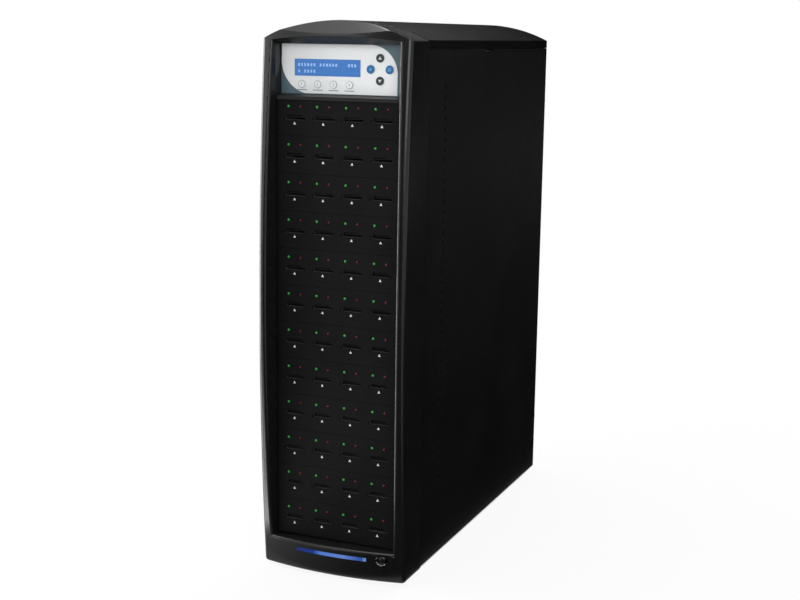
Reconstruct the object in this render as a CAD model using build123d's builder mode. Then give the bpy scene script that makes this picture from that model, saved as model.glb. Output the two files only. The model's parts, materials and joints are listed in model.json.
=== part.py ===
from build123d import *
from math import asin, cos, degrees, pi, radians, sin, sqrt, tan
import os

# Memory card duplicator tower, in millimetres.
# +X is the right-hand side seen from the front, +Y the rear and +Z up.
# The origin is the middle of the footprint, on the surface that the feet rest on.

os.makedirs("parts", exist_ok=True)

# Rows of card slots: each row is one half-height bay
rows = 12
columns = 4
row_pitch = 42.3
slot_pitch = 35.3
bay_width = 150.0

# Case
side_room = 13.7
case_width = bay_width + 2 * side_room
case_length = 437.2
foot_height = 6.0
chin_height = 35.3
control_bay_height = 58.7
lip_height = 9.9
arch_rise = 20.3
sheet = 1.2
plastic = 2.5
running_gap = 0.3

# Bezel
bezel_side = 1.1
bezel_width = case_width + 2 * bezel_side
bezel_depth = 42.4
bezel_reach = 20.3
bezel_drop = 2.0
plan_bulge = 11.0
vertical_radius = 3460.0
bulge_height = 312.7
sill_gap = 1.5
flare_side_angle = 18.4
flare_top_angle = 32.7
brow_angle = 33.0
brow_edge_height = 629.0

# Rear
thumbscrew_reach = 10.0

overall_length = bezel_reach + bezel_depth + case_length + thumbscrew_reach
fascia_y = bezel_reach - overall_length / 2
seam_y = fascia_y + bezel_depth
rear_y = seam_y + case_length
half_case = case_width / 2
half_bezel = bezel_width / 2
half_bay = bay_width / 2

case_bottom = foot_height
stack_bottom = case_bottom + chin_height
stack_top = stack_bottom + rows * row_pitch
brow_z = stack_top + control_bay_height
cover_bottom = brow_z - 4.6
cover_edge = cover_bottom + lip_height
arch_top = cover_edge + arch_rise
overcut = 5.0
sill_z = stack_bottom - sill_gap
row_bottoms = [stack_bottom + i * row_pitch for i in range(rows)]
column_places = [(i - (columns - 1) / 2) * slot_pitch for i in range(columns)]


def facing_front(y):
    """A plane across the case at y whose sketches face the front."""
    return Plane.XZ.offset(-y)


def arch_outline(half_width, bottom, edge, apex):
    """Front view outline: straight sides and bottom under one arc."""
    with BuildSketch() as outline:
        with BuildLine():
            Polyline(
                (-half_width, edge), (-half_width, bottom), (half_width, bottom), (half_width, edge)
            )
            ThreePointArc((half_width, edge), (0, apex), (-half_width, edge))
        make_face()
    return outline.sketch


def arch_height(x, half_width, rise):
    """How far the arch over half_width stands above its edges at x."""
    radius = (half_width**2 + rise**2) / (2 * rise)
    return sqrt(radius**2 - x**2) - radius + rise


def save(builder, name):
    """Label a finished piece and write it to its own file."""
    builder.part.label = name
    export_step(builder.part, f"parts/{name}.step")


# Bezel front surface: a plan arc swept about a far axis, so that it bulges both ways
plan_radius = (half_bezel**2 + plan_bulge**2) / (2 * plan_bulge)
upright_front_x = half_bay + 8.5
plan_fall = plan_radius - sqrt(plan_radius**2 - upright_front_x**2)
bulge_y = fascia_y - bezel_reach - plan_fall
bulge_axis_y = bulge_y + vertical_radius
bezel_bottom = case_bottom - bezel_drop
bezel_edge = cover_edge - 1.0
bezel_apex = arch_top
fall_angle = degrees(asin((bulge_height - bezel_bottom + 20) / vertical_radius))
rise_angle = degrees(asin((bezel_apex - bulge_height + 20) / vertical_radius))


def bulged_block(inset):
    """The block behind the bulged front, with that surface moved inwards by inset."""
    a = radians(fall_angle)
    block_plane = Plane(
        origin=(0, bulge_axis_y, bulge_height),
        x_dir=(1, 0, 0),
        z_dir=(0, sin(a), -cos(a)),
    )
    side_x = half_bezel + overcut if inset else half_bezel
    corner = plan_radius - sqrt(plan_radius**2 - side_x**2)
    front = vertical_radius - inset
    back = vertical_radius - bezel_reach - bezel_depth - 40
    with BuildPart() as block:
        with BuildSketch(block_plane):
            with BuildLine():
                ThreePointArc((-side_x, front - corner), (0, front), (side_x, front - corner))
                Polyline(
                    (side_x, front - corner),
                    (side_x, back),
                    (-side_x, back),
                    (-side_x, front - corner),
                )
            make_face()
        revolve(
            axis=Axis((0, bulge_axis_y, bulge_height), (-1, 0, 0)),
            revolution_arc=fall_angle + rise_angle,
        )
    return block.part


def bezel_surface_y(x, z, inset=0.0):
    """Where the bulged front surface lies at x and z."""
    fall = plan_radius - sqrt(plan_radius**2 - x**2)
    radius = vertical_radius - inset - fall
    return bulge_axis_y - sqrt(radius**2 - (z - bulge_height) ** 2)


def prism_to_surface(outline, back_y, inset):
    """An outline carried forward from back_y to the bulged surface, less inset."""
    with BuildPart() as prism:
        add(bulged_block(inset))
        with BuildSketch(facing_front(back_y)):
            add(outline)
        extrude(amount=bezel_depth + bezel_reach + 2 * plan_bulge, mode=Mode.INTERSECT)
    return prism.part


# Front bezel: a moulded shell, open at the back, round a flared opening
bezel_wall = plastic
flare_reach = bezel_reach + plan_bulge + overcut
opening_land = 3.0
flare_start_y = fascia_y - opening_land
bar_z = stack_bottom - 11.3
bar_x = 2.0
bar_length = 88.0
bar_height = 4.4
bar_gap = 0.1
button_x = 63.5
button_z = stack_bottom - 10.4
button_radius = 5.0
button_ring_radius = 7.2
button_ring_bore = button_radius + 0.2
button_travel = 1.6
boss_radius = 3.4
screw_radius = 1.5
bezel_screw_length = 12.0
bezel_screw_x = (half_bay + half_bezel) / 2
bezel_screw_heights = (
    stack_bottom + row_pitch,
    (stack_bottom + stack_top) / 2,
    stack_top - row_pitch,
)
bezel_screw_places = [(side * bezel_screw_x, z) for z in bezel_screw_heights for side in (-1, 1)]
board = 1.6
button_face_y = bezel_surface_y(button_x, button_z)
button_ring_depth = 4.5
button_stem_end_y = button_face_y + 11.0
switch_depth = 7.5
switch_gap = 0.2
front_board_y = button_stem_end_y + button_travel + switch_gap + switch_depth
post_pitch = 30.0
post_z = bezel_bottom + 11.5
front_board_posts = [(k * post_pitch, post_z) for k in (-1, 0, 1)]
post_radius = 2.6
board_screw_bite = 6.0

flare_depth = flare_reach + bezel_depth - (seam_y - flare_start_y)
flare_side = flare_depth * tan(radians(flare_side_angle))
flare_top = flare_depth * tan(radians(flare_top_angle))
flare_end_y = flare_start_y - flare_depth

with BuildPart() as flare:
    with BuildSketch(Plane.XY.offset(sill_z)):
        with BuildLine():
            Polyline(
                (-half_bay, flare_start_y),
                (half_bay, flare_start_y),
                (half_bay + flare_side, flare_end_y),
                (-half_bay - flare_side, flare_end_y),
                close=True,
            )
        make_face()
    extrude(amount=brow_z + flare_top - sill_z)
    with BuildSketch(Plane.YZ):
        with BuildLine():
            Polyline(
                (flare_start_y, sill_z),
                (flare_start_y, brow_z),
                (flare_end_y, brow_z + flare_top),
                (flare_end_y, sill_z),
                close=True,
            )
        make_face()
    extrude(amount=half_bezel + flare_side, both=True, mode=Mode.INTERSECT)

brow_plane = Plane(
    origin=(0, fascia_y, brow_edge_height),
    x_dir=(1, 0, 0),
    z_dir=(0, -cos(radians(brow_angle)), -sin(radians(brow_angle))),
)
arch_radius = (half_case**2 + arch_rise**2) / (2 * arch_rise)


def above_brow(drop):
    """All that lies above the leaning arch of the brow, lowered by drop."""
    with BuildPart() as above:
        with BuildSketch(brow_plane.offset(-3 * bezel_depth)):
            with Locations((0, arch_radius - drop)):
                Rectangle(2 * bezel_width, 2 * arch_radius + 2 * drop)
            with Locations((0, -arch_radius - drop)):
                Circle(arch_radius, mode=Mode.SUBTRACT)
        extrude(amount=6 * bezel_depth)
    return above.part


# Hollow of the bezel: a ring round the opening, a pocket behind the chin and one in each upright
pocket_land = 5.0
pocket_inner_x = half_bay + flare_side * (bezel_reach - pocket_land) / flare_depth + bezel_wall
pocket_outer_x = half_bezel - bezel_wall
boss_rib = 2.0
boss_block = 2 * (boss_radius + boss_rib)

with BuildPart() as ring_hollow:
    with BuildSketch(facing_front(seam_y)):
        add(
            arch_outline(
                half_bezel - bezel_wall,
                sill_z - bezel_wall,
                bezel_edge - bezel_wall / 2,
                bezel_apex - bezel_wall,
            )
        )
        opening_height = brow_z - sill_z + 2 * bezel_wall
        with Locations((0, (brow_z + sill_z) / 2)):
            Rectangle(bay_width + 2 * bezel_wall, opening_height, mode=Mode.SUBTRACT)
        with Locations(*bezel_screw_places):
            Circle(boss_radius, mode=Mode.SUBTRACT)
    extrude(amount=seam_y - flare_start_y)
    add(above_brow(bezel_wall), mode=Mode.SUBTRACT)

with BuildPart() as chin_hollow:
    add(bulged_block(bezel_wall))
    with BuildSketch(facing_front(seam_y)):
        with Locations((0, (bezel_bottom + sill_z) / 2)):
            Rectangle(bezel_width - 2 * bezel_wall, sill_z - bezel_bottom - 2 * bezel_wall)
    extrude(amount=flare_reach + bezel_depth, mode=Mode.INTERSECT)

with BuildPart() as upright_hollow:
    add(bulged_block(bezel_wall))
    with BuildSketch(facing_front(flare_start_y + 1)):
        pocket_ends = [sill_z, *bezel_screw_heights, brow_z]
        for low, high in zip(pocket_ends[:-1], pocket_ends[1:]):
            with Locations(((pocket_inner_x + pocket_outer_x) / 2, (low + high) / 2)):
                Rectangle(pocket_outer_x - pocket_inner_x, high - low - boss_block)
    extrude(amount=flare_depth, mode=Mode.INTERSECT)
    mirror(about=Plane.YZ)

inner_edge_radius = 3.2
outer_edge_radius = 5.0
chin_edge_radius = 4.0
ridge_radius = 2.5

with BuildPart() as front_bezel:
    add(bulged_block(0))
    with BuildSketch(facing_front(seam_y)):
        add(arch_outline(half_bezel, bezel_bottom, bezel_edge, bezel_apex))
    extrude(amount=flare_reach + bezel_depth, mode=Mode.INTERSECT)
    # Brow: the arched top leans back above the opening
    add(above_brow(0), mode=Mode.SUBTRACT)
    # Opening for the reader rows and the control panel
    with BuildSketch(facing_front(seam_y)):
        with Locations((0, (brow_z + sill_z) / 2)):
            Rectangle(bay_width, brow_z - sill_z)
    extrude(amount=seam_y - flare_start_y, mode=Mode.SUBTRACT)
    add(flare.part, mode=Mode.SUBTRACT)

    # Rounded inner edges of the uprights and sill, outer corners and chin
    front_face = front_bezel.faces().filter_by(GeomType.TORUS).sort_by(SortBy.AREA)[-1]
    opening_edges = [
        edge
        for edge in front_face.edges()
        if abs(edge.center().X) < upright_front_x + inner_edge_radius
        and stack_bottom - inner_edge_radius < edge.center().Z < brow_z
    ]
    fillet(opening_edges, radius=inner_edge_radius)
    front_face = front_bezel.faces().filter_by(GeomType.TORUS).sort_by(SortBy.AREA)[-1]
    outer_edges = front_face.outer_wire().edges().sort_by(SortBy.LENGTH)
    fillet(outer_edges[-2:], radius=outer_edge_radius)
    # Rounded lower edge of the chin and ridge of the brow
    front_face = front_bezel.faces().filter_by(GeomType.TORUS).sort_by(SortBy.AREA)[-1]
    chin_edge = front_face.outer_wire().edges().sort_by(Axis.Z)[0]
    fillet(chin_edge, radius=chin_edge_radius)
    ridge = front_bezel.edges().filter_by(GeomType.ELLIPSE).sort_by(Axis.Z)[-1]
    fillet(ridge, radius=ridge_radius)
    # Hollow behind the uprights, brow and chin
    add(ring_hollow.part, mode=Mode.SUBTRACT)
    add(chin_hollow.part, mode=Mode.SUBTRACT)
    add(upright_hollow.part, mode=Mode.SUBTRACT)
    # Six-sided posts in the chin carry the front board
    for x, z in front_board_posts:
        with BuildSketch(facing_front(front_board_y)):
            with Locations((x, z)):
                RegularPolygon(post_radius, 6)
        extrude(amount=front_board_y - bezel_surface_y(x, z, bezel_wall / 2))
    # Screw holes in the posts and in the rim
    with BuildSketch(facing_front(front_board_y)):
        with Locations(*front_board_posts):
            Circle(screw_radius)
    extrude(amount=board_screw_bite + 1, mode=Mode.SUBTRACT)
    with BuildSketch(facing_front(seam_y)):
        with Locations(*bezel_screw_places):
            Circle(screw_radius)
    extrude(amount=bezel_screw_length, mode=Mode.SUBTRACT)
    # Slot for the light bar and seat for the button ring
    with BuildSketch(facing_front(front_board_y)):
        with Locations((bar_x, bar_z)):
            Rectangle(bar_length, bar_height)
        with Locations((button_x, button_z)):
            Circle(button_ring_radius)
    extrude(amount=bezel_depth + bezel_reach + plan_bulge, mode=Mode.SUBTRACT)

save(front_bezel, "front_bezel")


# Light bar: a curved lens whose guide runs back to the lamps on the front board
lens_proud = 0.3
bar_lip = 1.6
lamp_depth = 1.5
lamps_in_bar = 8

with BuildSketch() as bar_outline:
    with Locations((bar_x, bar_z)):
        Rectangle(bar_length - 2 * bar_gap, bar_height - 2 * bar_gap)

with BuildSketch() as bar_lip_outline:
    with Locations((bar_x, bar_z)):
        Rectangle(bar_length + 2 * bar_lip, bar_height + 2 * bar_lip)

with BuildPart() as light_bar:
    add(prism_to_surface(bar_lip_outline.sketch, front_board_y, bezel_wall + bar_gap))
    add(bulged_block(bezel_wall + bar_gap + sheet), mode=Mode.SUBTRACT)
    guide_end_y = front_board_y - lamp_depth - running_gap
    add(prism_to_surface(bar_outline.sketch, guide_end_y, -lens_proud))
save(light_bar, "light_bar")

# Power button: a domed cap in a bright ring, held by a flange behind the ring
button_flange = 1.4
button_flange_y = button_face_y + button_ring_depth + bar_gap
stem_radius = 2.2
dome_rise = 1.7
dome_radius = (button_radius**2 + dome_rise**2) / (2 * dome_rise)
dome_sag = dome_radius - sqrt(dome_radius**2 - (button_radius / 2) ** 2)
button_proud = 0.4
button_apex_y = button_face_y - button_proud
button_shoulder_y = button_apex_y + dome_rise
button_rim = 1.4
ring_chamfer = 1.1
switch_size = 12.0
plunger = 1.5

with BuildSketch() as ring_outline:
    with Locations((button_x, button_z)):
        Circle(button_ring_radius - bar_gap)
        Circle(button_ring_bore, mode=Mode.SUBTRACT)

with BuildPart() as power_button_ring:
    add(prism_to_surface(ring_outline.sketch, button_face_y + button_ring_depth, -lens_proud))
    ring_front = power_button_ring.faces().filter_by(GeomType.TORUS)[0]
    chamfer(ring_front.inner_wires()[0].edges(), length=ring_chamfer)
save(power_button_ring, "power_button_ring")

with BuildPart() as power_button:
    with BuildSketch(Plane.XY.offset(button_z)):
        with BuildLine():
            Line((button_x, button_apex_y), (button_x, button_stem_end_y))
            Line((button_x, button_stem_end_y), (button_x + stem_radius, button_stem_end_y))
            Polyline(
                (button_x + stem_radius, button_stem_end_y),
                (button_x + stem_radius, button_flange_y + button_flange),
                (button_x + button_radius + button_rim, button_flange_y + button_flange),
                (button_x + button_radius + button_rim, button_flange_y),
                (button_x + button_radius, button_flange_y),
                (button_x + button_radius, button_shoulder_y),
            )
            ThreePointArc(
                (button_x + button_radius, button_shoulder_y),
                (button_x + button_radius / 2, button_apex_y + dome_sag),
                (button_x, button_apex_y),
            )
        make_face()
    revolve(axis=Axis((button_x, 0, button_z), (0, 1, 0)))
save(power_button, "power_button")

with BuildPart() as power_switch:
    with BuildSketch(facing_front(front_board_y)):
        with Locations((button_x, button_z)):
            Rectangle(switch_size, switch_size)
    extrude(amount=switch_depth - plunger)
    with BuildSketch(facing_front(front_board_y - switch_depth + plunger)):
        with Locations((button_x, button_z)):
            Circle(stem_radius)
    extrude(amount=plunger)
save(power_switch, "power_switch")

# Front board: carries the bar lamps and the power switch in the chin
front_board_width = 136.0
front_board_height = 24.4
front_board_x = 6.0
front_board_z = bezel_bottom + 20.3
lamp_length = 3.5
lamp_height = 2.8
with BuildPart() as front_board:
    with BuildSketch(facing_front(front_board_y + board)):
        with Locations((front_board_x, front_board_z)):
            Rectangle(front_board_width, front_board_height)
        with Locations(*front_board_posts):
            Circle(screw_radius, mode=Mode.SUBTRACT)
    extrude(amount=board)
    with BuildSketch(facing_front(front_board_y)):
        with Locations((bar_x, bar_z)):
            with GridLocations(bar_length / lamps_in_bar, 1, lamps_in_bar, 1):
                Rectangle(lamp_length, lamp_height)
    extrude(amount=lamp_depth)
save(front_board, "front_board")


# Chassis: floor pan, front frame, bay walls, rear panel and top panel in sheet steel
skin_gap = running_gap
floor_top = case_bottom + sheet
frame_play = 0.7
frame_half = half_case - sheet - skin_gap - frame_play
frame_return = 10.0
foot_inset = 26.0
foot_radius = 11.0
foot_y_places = (seam_y + foot_inset, rear_y - foot_inset)
foot_places = [(side * (half_case - foot_inset), y) for y in foot_y_places for side in (-1, 1)]
foot_screw_radius = 2.0
foot_well_radius = 4.2
foot_seat_radius = 5.0
foot_taper = 8
screw_play = 0.1

with BuildPart() as chassis_floor:
    with BuildSketch(Plane.XY.offset(case_bottom)):
        with Locations((0, (seam_y + rear_y) / 2)):
            Rectangle(case_width - 2 * skin_gap, case_length)
        with Locations(*foot_places):
            Circle(foot_screw_radius, mode=Mode.SUBTRACT)
    extrude(amount=sheet)
save(chassis_floor, "chassis_floor")

with BuildPart() as feet:
    with BuildSketch():
        with Locations(*foot_places):
            Circle(foot_radius)
            Circle(foot_well_radius, mode=Mode.SUBTRACT)
    extrude(amount=foot_height, taper=foot_taper)
    with BuildSketch(Plane.XY.offset(foot_height / 2)):
        with Locations(*foot_places):
            Circle(foot_seat_radius)
            Circle(foot_screw_radius + screw_play, mode=Mode.SUBTRACT)
    extrude(amount=foot_height / 2)
save(feet, "feet")

wall_outer = half_bay + sheet
wall_flange = frame_half - sheet - skin_gap
wall_start_y = seam_y + sheet
row_depth = 120.0
board_end_y = fascia_y + row_depth
backplane_gap = 5.0
backplane_y = board_end_y + backplane_gap
backplane = 2.0
wall_end_y = backplane_y + backplane
wall_rear_flange = 13.0
screw_row_inset = 22.0
screw_row_y = seam_y + screw_row_inset
mark_rise = 13.7
board_rise = mark_rise + 1.6
controller_rise = 12.0
tray_screw_rise = 4.0
tray_floors = [z + board_rise for z in row_bottoms] + [stack_top + controller_rise]
bay_screw_z = [z + tray_screw_rise for z in tray_floors]
wall_screw_radius = 1.5
hole_play = 0.2
frame_header = 8.0
frame_window_height = 14.0
frame_window_z = (floor_top + stack_bottom) / 2 - 2.0

with BuildPart() as front_frame:
    with BuildSketch(facing_front(wall_start_y)):
        with Locations((0, (floor_top + cover_bottom) / 2)):
            Rectangle(2 * frame_half, cover_bottom - floor_top)
        with Locations((0, (stack_bottom + brow_z - frame_header) / 2)):
            Rectangle(bay_width, brow_z - frame_header - stack_bottom, mode=Mode.SUBTRACT)
        with Locations((0, frame_window_z)):
            Rectangle(half_bay, frame_window_height, mode=Mode.SUBTRACT)
        with Locations(*bezel_screw_places):
            Circle(screw_radius + hole_play, mode=Mode.SUBTRACT)
    extrude(amount=sheet)
    with BuildSketch(facing_front(wall_start_y + frame_return)):
        for side in (-1, 1):
            with Locations((side * (frame_half - sheet / 2), (floor_top + cover_bottom) / 2)):
                Rectangle(sheet, cover_bottom - floor_top)
    extrude(amount=frame_return)
save(front_frame, "front_frame")

# Bay walls: one at each side of the rows, flanged to the front frame and the backplane
with BuildPart() as right_bay_wall:
    with BuildSketch(Plane.XY.offset(floor_top)):
        with BuildLine():
            Polyline(
                (wall_flange, wall_start_y),
                (wall_flange, wall_start_y + sheet),
                (wall_outer, wall_start_y + sheet),
                (wall_outer, wall_end_y + sheet),
                (half_bay - wall_rear_flange, wall_end_y + sheet),
                (half_bay - wall_rear_flange, wall_end_y),
                (half_bay, wall_end_y),
                (half_bay, wall_start_y),
                close=True,
            )
        make_face()
    extrude(amount=cover_bottom - floor_top)
    with BuildSketch(Plane.YZ.offset(half_bay)):
        with Locations(*[(screw_row_y, z) for z in bay_screw_z]):
            RegularPolygon(wall_screw_radius + hole_play, 6, major_radius=False)
    extrude(amount=sheet, mode=Mode.SUBTRACT)
    with BuildSketch(facing_front(wall_start_y + sheet)):
        with Locations(*[(x, z) for x, z in bezel_screw_places if x > 0]):
            Circle(screw_radius + hole_play)
    extrude(amount=sheet, mode=Mode.SUBTRACT)

with BuildPart() as bay_walls:
    add(right_bay_wall.part)
    mirror(right_bay_wall.part, about=Plane.YZ)
save(bay_walls, "bay_walls")

# Rear panel
fan_size = 120.0
fan_depth = 25.0
fan_bore = 57.5
lower_fan_rise = 145.0
upper_fan_rise = 395.0
fan_heights = (stack_bottom + lower_fan_rise, stack_bottom + upper_fan_rise)
fan_hole_pitch = 105.0
rear_inner_y = rear_y - 2 * sheet
rear_face_y = rear_y - sheet
supply_width = 150.0
supply_height = 86.0
supply_length = 140.0
supply_screw_inset = 6.0
supply_window_side = 12.0
supply_window_edge = 4.0
supply_z = floor_top + supply_height / 2
grille_pitch = 9.0
grille_slot = 5.0
grille_rows = 12
grille_edge = 2.0


def grille(x, z, radius, slots):
    """Level slots that fill a circle, each as long as the circle is wide there."""
    with BuildSketch() as slot_rows:
        for k in range(slots):
            rise = (k - (slots - 1) / 2) * grille_pitch
            half = sqrt(radius**2 - (abs(rise) + grille_slot / 2) ** 2)
            with Locations((x, z + rise)):
                Rectangle(2 * half, grille_slot)
    return slot_rows.sketch


fan_screw_places = [
    (x * fan_hole_pitch / 2, z + dz * fan_hole_pitch / 2)
    for z in fan_heights
    for x in (-1, 1)
    for dz in (-1, 1)
]
supply_screw_x = supply_width / 2 - supply_screw_inset
supply_screw_rise = supply_height / 2 - supply_screw_inset
supply_screw_places = [
    (x * supply_screw_x, supply_z + dz * supply_screw_rise) for x in (-1, 1) for dz in (-1, 1)
]
thumb_side = 7.5
thumb_inset = 71.6
thumb_x = half_case - sheet - thumb_side
thumb_heights = (case_bottom + thumb_inset, cover_bottom - thumb_inset)
thumb_places = [(side * thumb_x, z) for z in thumb_heights for side in (-1, 1)]
thumb_radius = 2.0
thumb_play = 0.05
rear_screw_radius = 1.7
rear_screw_bite = 5.0

with BuildPart() as rear_panel:
    with BuildSketch(facing_front(rear_face_y)):
        with Locations((0, (floor_top + cover_bottom) / 2)):
            Rectangle(2 * frame_half, cover_bottom - floor_top)
        with Locations((0, supply_z)):
            Rectangle(
                supply_width - 2 * supply_window_side,
                supply_height - 2 * supply_window_edge,
                mode=Mode.SUBTRACT,
            )
        for z in fan_heights:
            add(grille(0, z, fan_bore - grille_edge, grille_rows), mode=Mode.SUBTRACT)
        with Locations(*fan_screw_places, *supply_screw_places):
            Circle(rear_screw_radius + screw_play, mode=Mode.SUBTRACT)
        with Locations(*thumb_places):
            Circle(thumb_radius + thumb_play, mode=Mode.SUBTRACT)
    extrude(amount=sheet)
    with BuildSketch(facing_front(rear_inner_y)):
        for side in (-1, 1):
            with Locations((side * (frame_half - sheet / 2), (floor_top + cover_bottom) / 2)):
                Rectangle(sheet, cover_bottom - floor_top)
    extrude(amount=frame_return)
save(rear_panel, "rear_panel")

cover_boss_radius = 4.0
cover_play = 0.2
cover_boss_inset = 40.0
cover_boss_y = (seam_y + cover_boss_inset, rear_y - cover_boss_inset)
cover_boss_x = 60.0
cover_boss_places = [(side * cover_boss_x, y) for y in cover_boss_y for side in (-1, 1)]

with BuildPart() as top_panel:
    with BuildSketch(Plane.XY.offset(cover_bottom)):
        with Locations((0, (seam_y + rear_y - plastic - cover_play) / 2)):
            Rectangle(case_width - 2 * (plastic + cover_play), case_length - plastic - cover_play)
        with Locations(*cover_boss_places):
            Circle(screw_radius + screw_play, mode=Mode.SUBTRACT)
    extrude(amount=sheet)
save(top_panel, "top_panel")

# Top cover: a moulded arch with side lips, a closed rear end and four bosses
with BuildPart() as top_cover:
    with BuildSketch(facing_front(rear_y)):
        add(arch_outline(half_case, cover_bottom, cover_edge, arch_top))
    extrude(amount=case_length)
    with BuildSketch(facing_front(rear_y - plastic)):
        inner_edge = cover_edge - plastic / 2
        add(arch_outline(half_case - plastic, cover_bottom, inner_edge, arch_top - plastic))
    extrude(amount=case_length - plastic, mode=Mode.SUBTRACT)
    boss_top = cover_edge + arch_height(cover_boss_x, half_case, arch_rise) - plastic / 2
    with BuildSketch(Plane.XY.offset(cover_bottom + sheet)):
        with Locations(*cover_boss_places):
            Circle(cover_boss_radius)
    extrude(amount=boss_top - cover_bottom - sheet - cover_boss_radius / 2)
    with BuildSketch(Plane.XY.offset(cover_bottom + sheet)):
        with Locations(*cover_boss_places):
            Circle(screw_radius)
    extrude(amount=lip_height, mode=Mode.SUBTRACT)
save(top_cover, "top_cover")


# Side panels: a skin with top and bottom flanges and a rear flange outside the rear panel
panel_travel = 18.0
panel_bottom = floor_top + skin_gap
panel_top = cover_bottom - skin_gap
panel_flange = 9.0
panel_rear_flange = 15.3
flange_play = 2.0
panel_start_y = seam_y + skin_gap
flange_start_y = wall_start_y + frame_return + flange_play
flange_end_y = rear_inner_y - frame_return - panel_travel - flange_play
vents = 40
vent_pitch = 11.8
vent_width = 4.0
vent_height = 6.5
vent_depth = 2.2
vent_ramp = 0.8
vent_sill = 0.5
vent_proud = 0.4
vent_lean = 20.0
vent_y = fascia_y + 97.5
vent_top = case_bottom + 553.5
notch_y = fascia_y + 239.0
notch_length = 26.0
notch_depth = 2.4

with BuildPart() as vent_cut:
    with BuildSketch(Plane.XZ.offset(-vent_width / 2)):
        with BuildLine():
            Polyline(
                (vent_proud, -vent_height / 2),
                (vent_proud, vent_height / 2),
                (-vent_depth, vent_height / 2),
                (-vent_depth, vent_sill),
                (-vent_ramp, vent_sill),
                close=True,
            )
        make_face()
    extrude(amount=vent_width)

with BuildPart() as right_side_panel:
    with BuildSketch(Plane.YZ.offset(half_case - sheet)):
        with Locations(((panel_start_y + rear_y) / 2, (panel_bottom + panel_top) / 2)):
            Rectangle(rear_y - panel_start_y, panel_top - panel_bottom)
        with Locations((notch_y, panel_top)):
            Rectangle(notch_length, 2 * notch_depth, mode=Mode.SUBTRACT)
    extrude(amount=sheet)
    vent_places = [(half_case, vent_y, vent_top - k * vent_pitch) for k in range(vents)]
    with Locations(*[Location(place, (vent_lean, 0, 0)) for place in vent_places]):
        add(vent_cut.part, mode=Mode.SUBTRACT)
    flange_x = half_case - sheet - panel_flange / 2
    for flange_z in (panel_bottom, panel_top - notch_depth - 2 * sheet):
        with BuildSketch(Plane.XY.offset(flange_z)):
            with Locations((flange_x, (flange_start_y + flange_end_y) / 2)):
                Rectangle(panel_flange, flange_end_y - flange_start_y)
        extrude(amount=sheet)
    with BuildSketch(facing_front(rear_y)):
        with Locations((half_case - panel_rear_flange / 2, (panel_bottom + panel_top) / 2)):
            Rectangle(panel_rear_flange, panel_top - panel_bottom)
        with Locations(*[(thumb_x, z) for z in thumb_heights]):
            Circle(thumb_radius + thumb_play, mode=Mode.SUBTRACT)
    extrude(amount=sheet)
save(right_side_panel, "right_side_panel")

with BuildPart() as left_side_panel:
    mirror(right_side_panel.part, about=Plane.YZ)
save(left_side_panel, "left_side_panel")

thumb_head = thumbscrew_reach
thumb_head_radius = 6.0
thumb_bite = 3.0
for side, name in ((1, "right_thumbscrews"), (-1, "left_thumbscrews")):
    with BuildPart() as thumbscrews:
        with BuildSketch(facing_front(rear_y + thumb_head)):
            with Locations(*[(side * thumb_x, z) for z in thumb_heights]):
                RegularPolygon(thumb_head_radius, 16)
        extrude(amount=thumb_head)
        with BuildSketch(facing_front(rear_y)):
            with Locations(*[(side * thumb_x, z) for z in thumb_heights]):
                Circle(thumb_radius)
        extrude(amount=3 * sheet + thumb_bite)
    save(thumbscrews, name)


# Rows: each has a fascia with four slots, lamps, a tray, a board, four sockets and a lamp board
fascia_wall = 2.5
fascia_return = 12.0
fascia_width = bay_width - 2 * running_gap
fascia_height = row_pitch - running_gap
slot_width = 25.6
slot_height = 3.2
slot_rise = mark_rise + 4.95
scoop_width = 18.0
scoop_height = 2.6
scoop_depth = 1.6
scoop_floor = 1.0
lamp_rise = mark_rise + 18.5
lamp_offset = 7.5
lamp_radius = 1.45
lamp_sides = 6
lamp_proud = 0.9
lamp_fit = 0.08
lamp_board_depth = 8.0
lamp_board_y = fascia_y + lamp_board_depth
lamp_post = 4.0

with BuildPart() as fascia:
    with BuildSketch(facing_front(fascia_y + fascia_wall + fascia_return)):
        with Locations((0, row_pitch / 2)):
            Rectangle(fascia_width, fascia_height)
    extrude(amount=fascia_wall + fascia_return)
    with BuildSketch(facing_front(fascia_y + fascia_wall + fascia_return)):
        with Locations((0, row_pitch / 2)):
            Rectangle(fascia_width - 2 * fascia_wall, fascia_height - 2 * fascia_wall)
        with Locations(*[(x, lamp_rise) for x in (-slot_pitch, slot_pitch)]):
            Rectangle(lamp_post, lamp_post, mode=Mode.SUBTRACT)
    extrude(amount=fascia_return, mode=Mode.SUBTRACT)
    # The lamp board rests on the two posts
    with BuildSketch(facing_front(fascia_y + fascia_wall + fascia_return)):
        with Locations(*[(x, lamp_rise) for x in (-slot_pitch, slot_pitch)]):
            Rectangle(lamp_post, lamp_post)
    extrude(amount=fascia_y + fascia_wall + fascia_return - lamp_board_y, mode=Mode.SUBTRACT)
    with BuildSketch(facing_front(fascia_y + fascia_wall)):
        with Locations(*[(x, slot_rise) for x in column_places]):
            Rectangle(slot_width, slot_height)
        for offset in (-lamp_offset, lamp_offset):
            with Locations(*[(x + offset, lamp_rise) for x in column_places]):
                RegularPolygon(lamp_radius + lamp_fit, lamp_sides)
    extrude(amount=fascia_wall, mode=Mode.SUBTRACT)
    # Finger scoop above each slot, deepest at the slot
    for x in column_places:
        with BuildSketch(Plane.YZ.offset(x - scoop_width / 2)):
            scoop_bottom = slot_rise + slot_height / 2
            with BuildLine():
                Polyline(
                    (fascia_y, scoop_bottom),
                    (fascia_y + scoop_depth, scoop_bottom),
                    (fascia_y + scoop_depth, scoop_bottom + scoop_floor),
                    (fascia_y, scoop_bottom + scoop_height),
                    close=True,
                )
            make_face()
        extrude(amount=scoop_width, mode=Mode.SUBTRACT)

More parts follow.
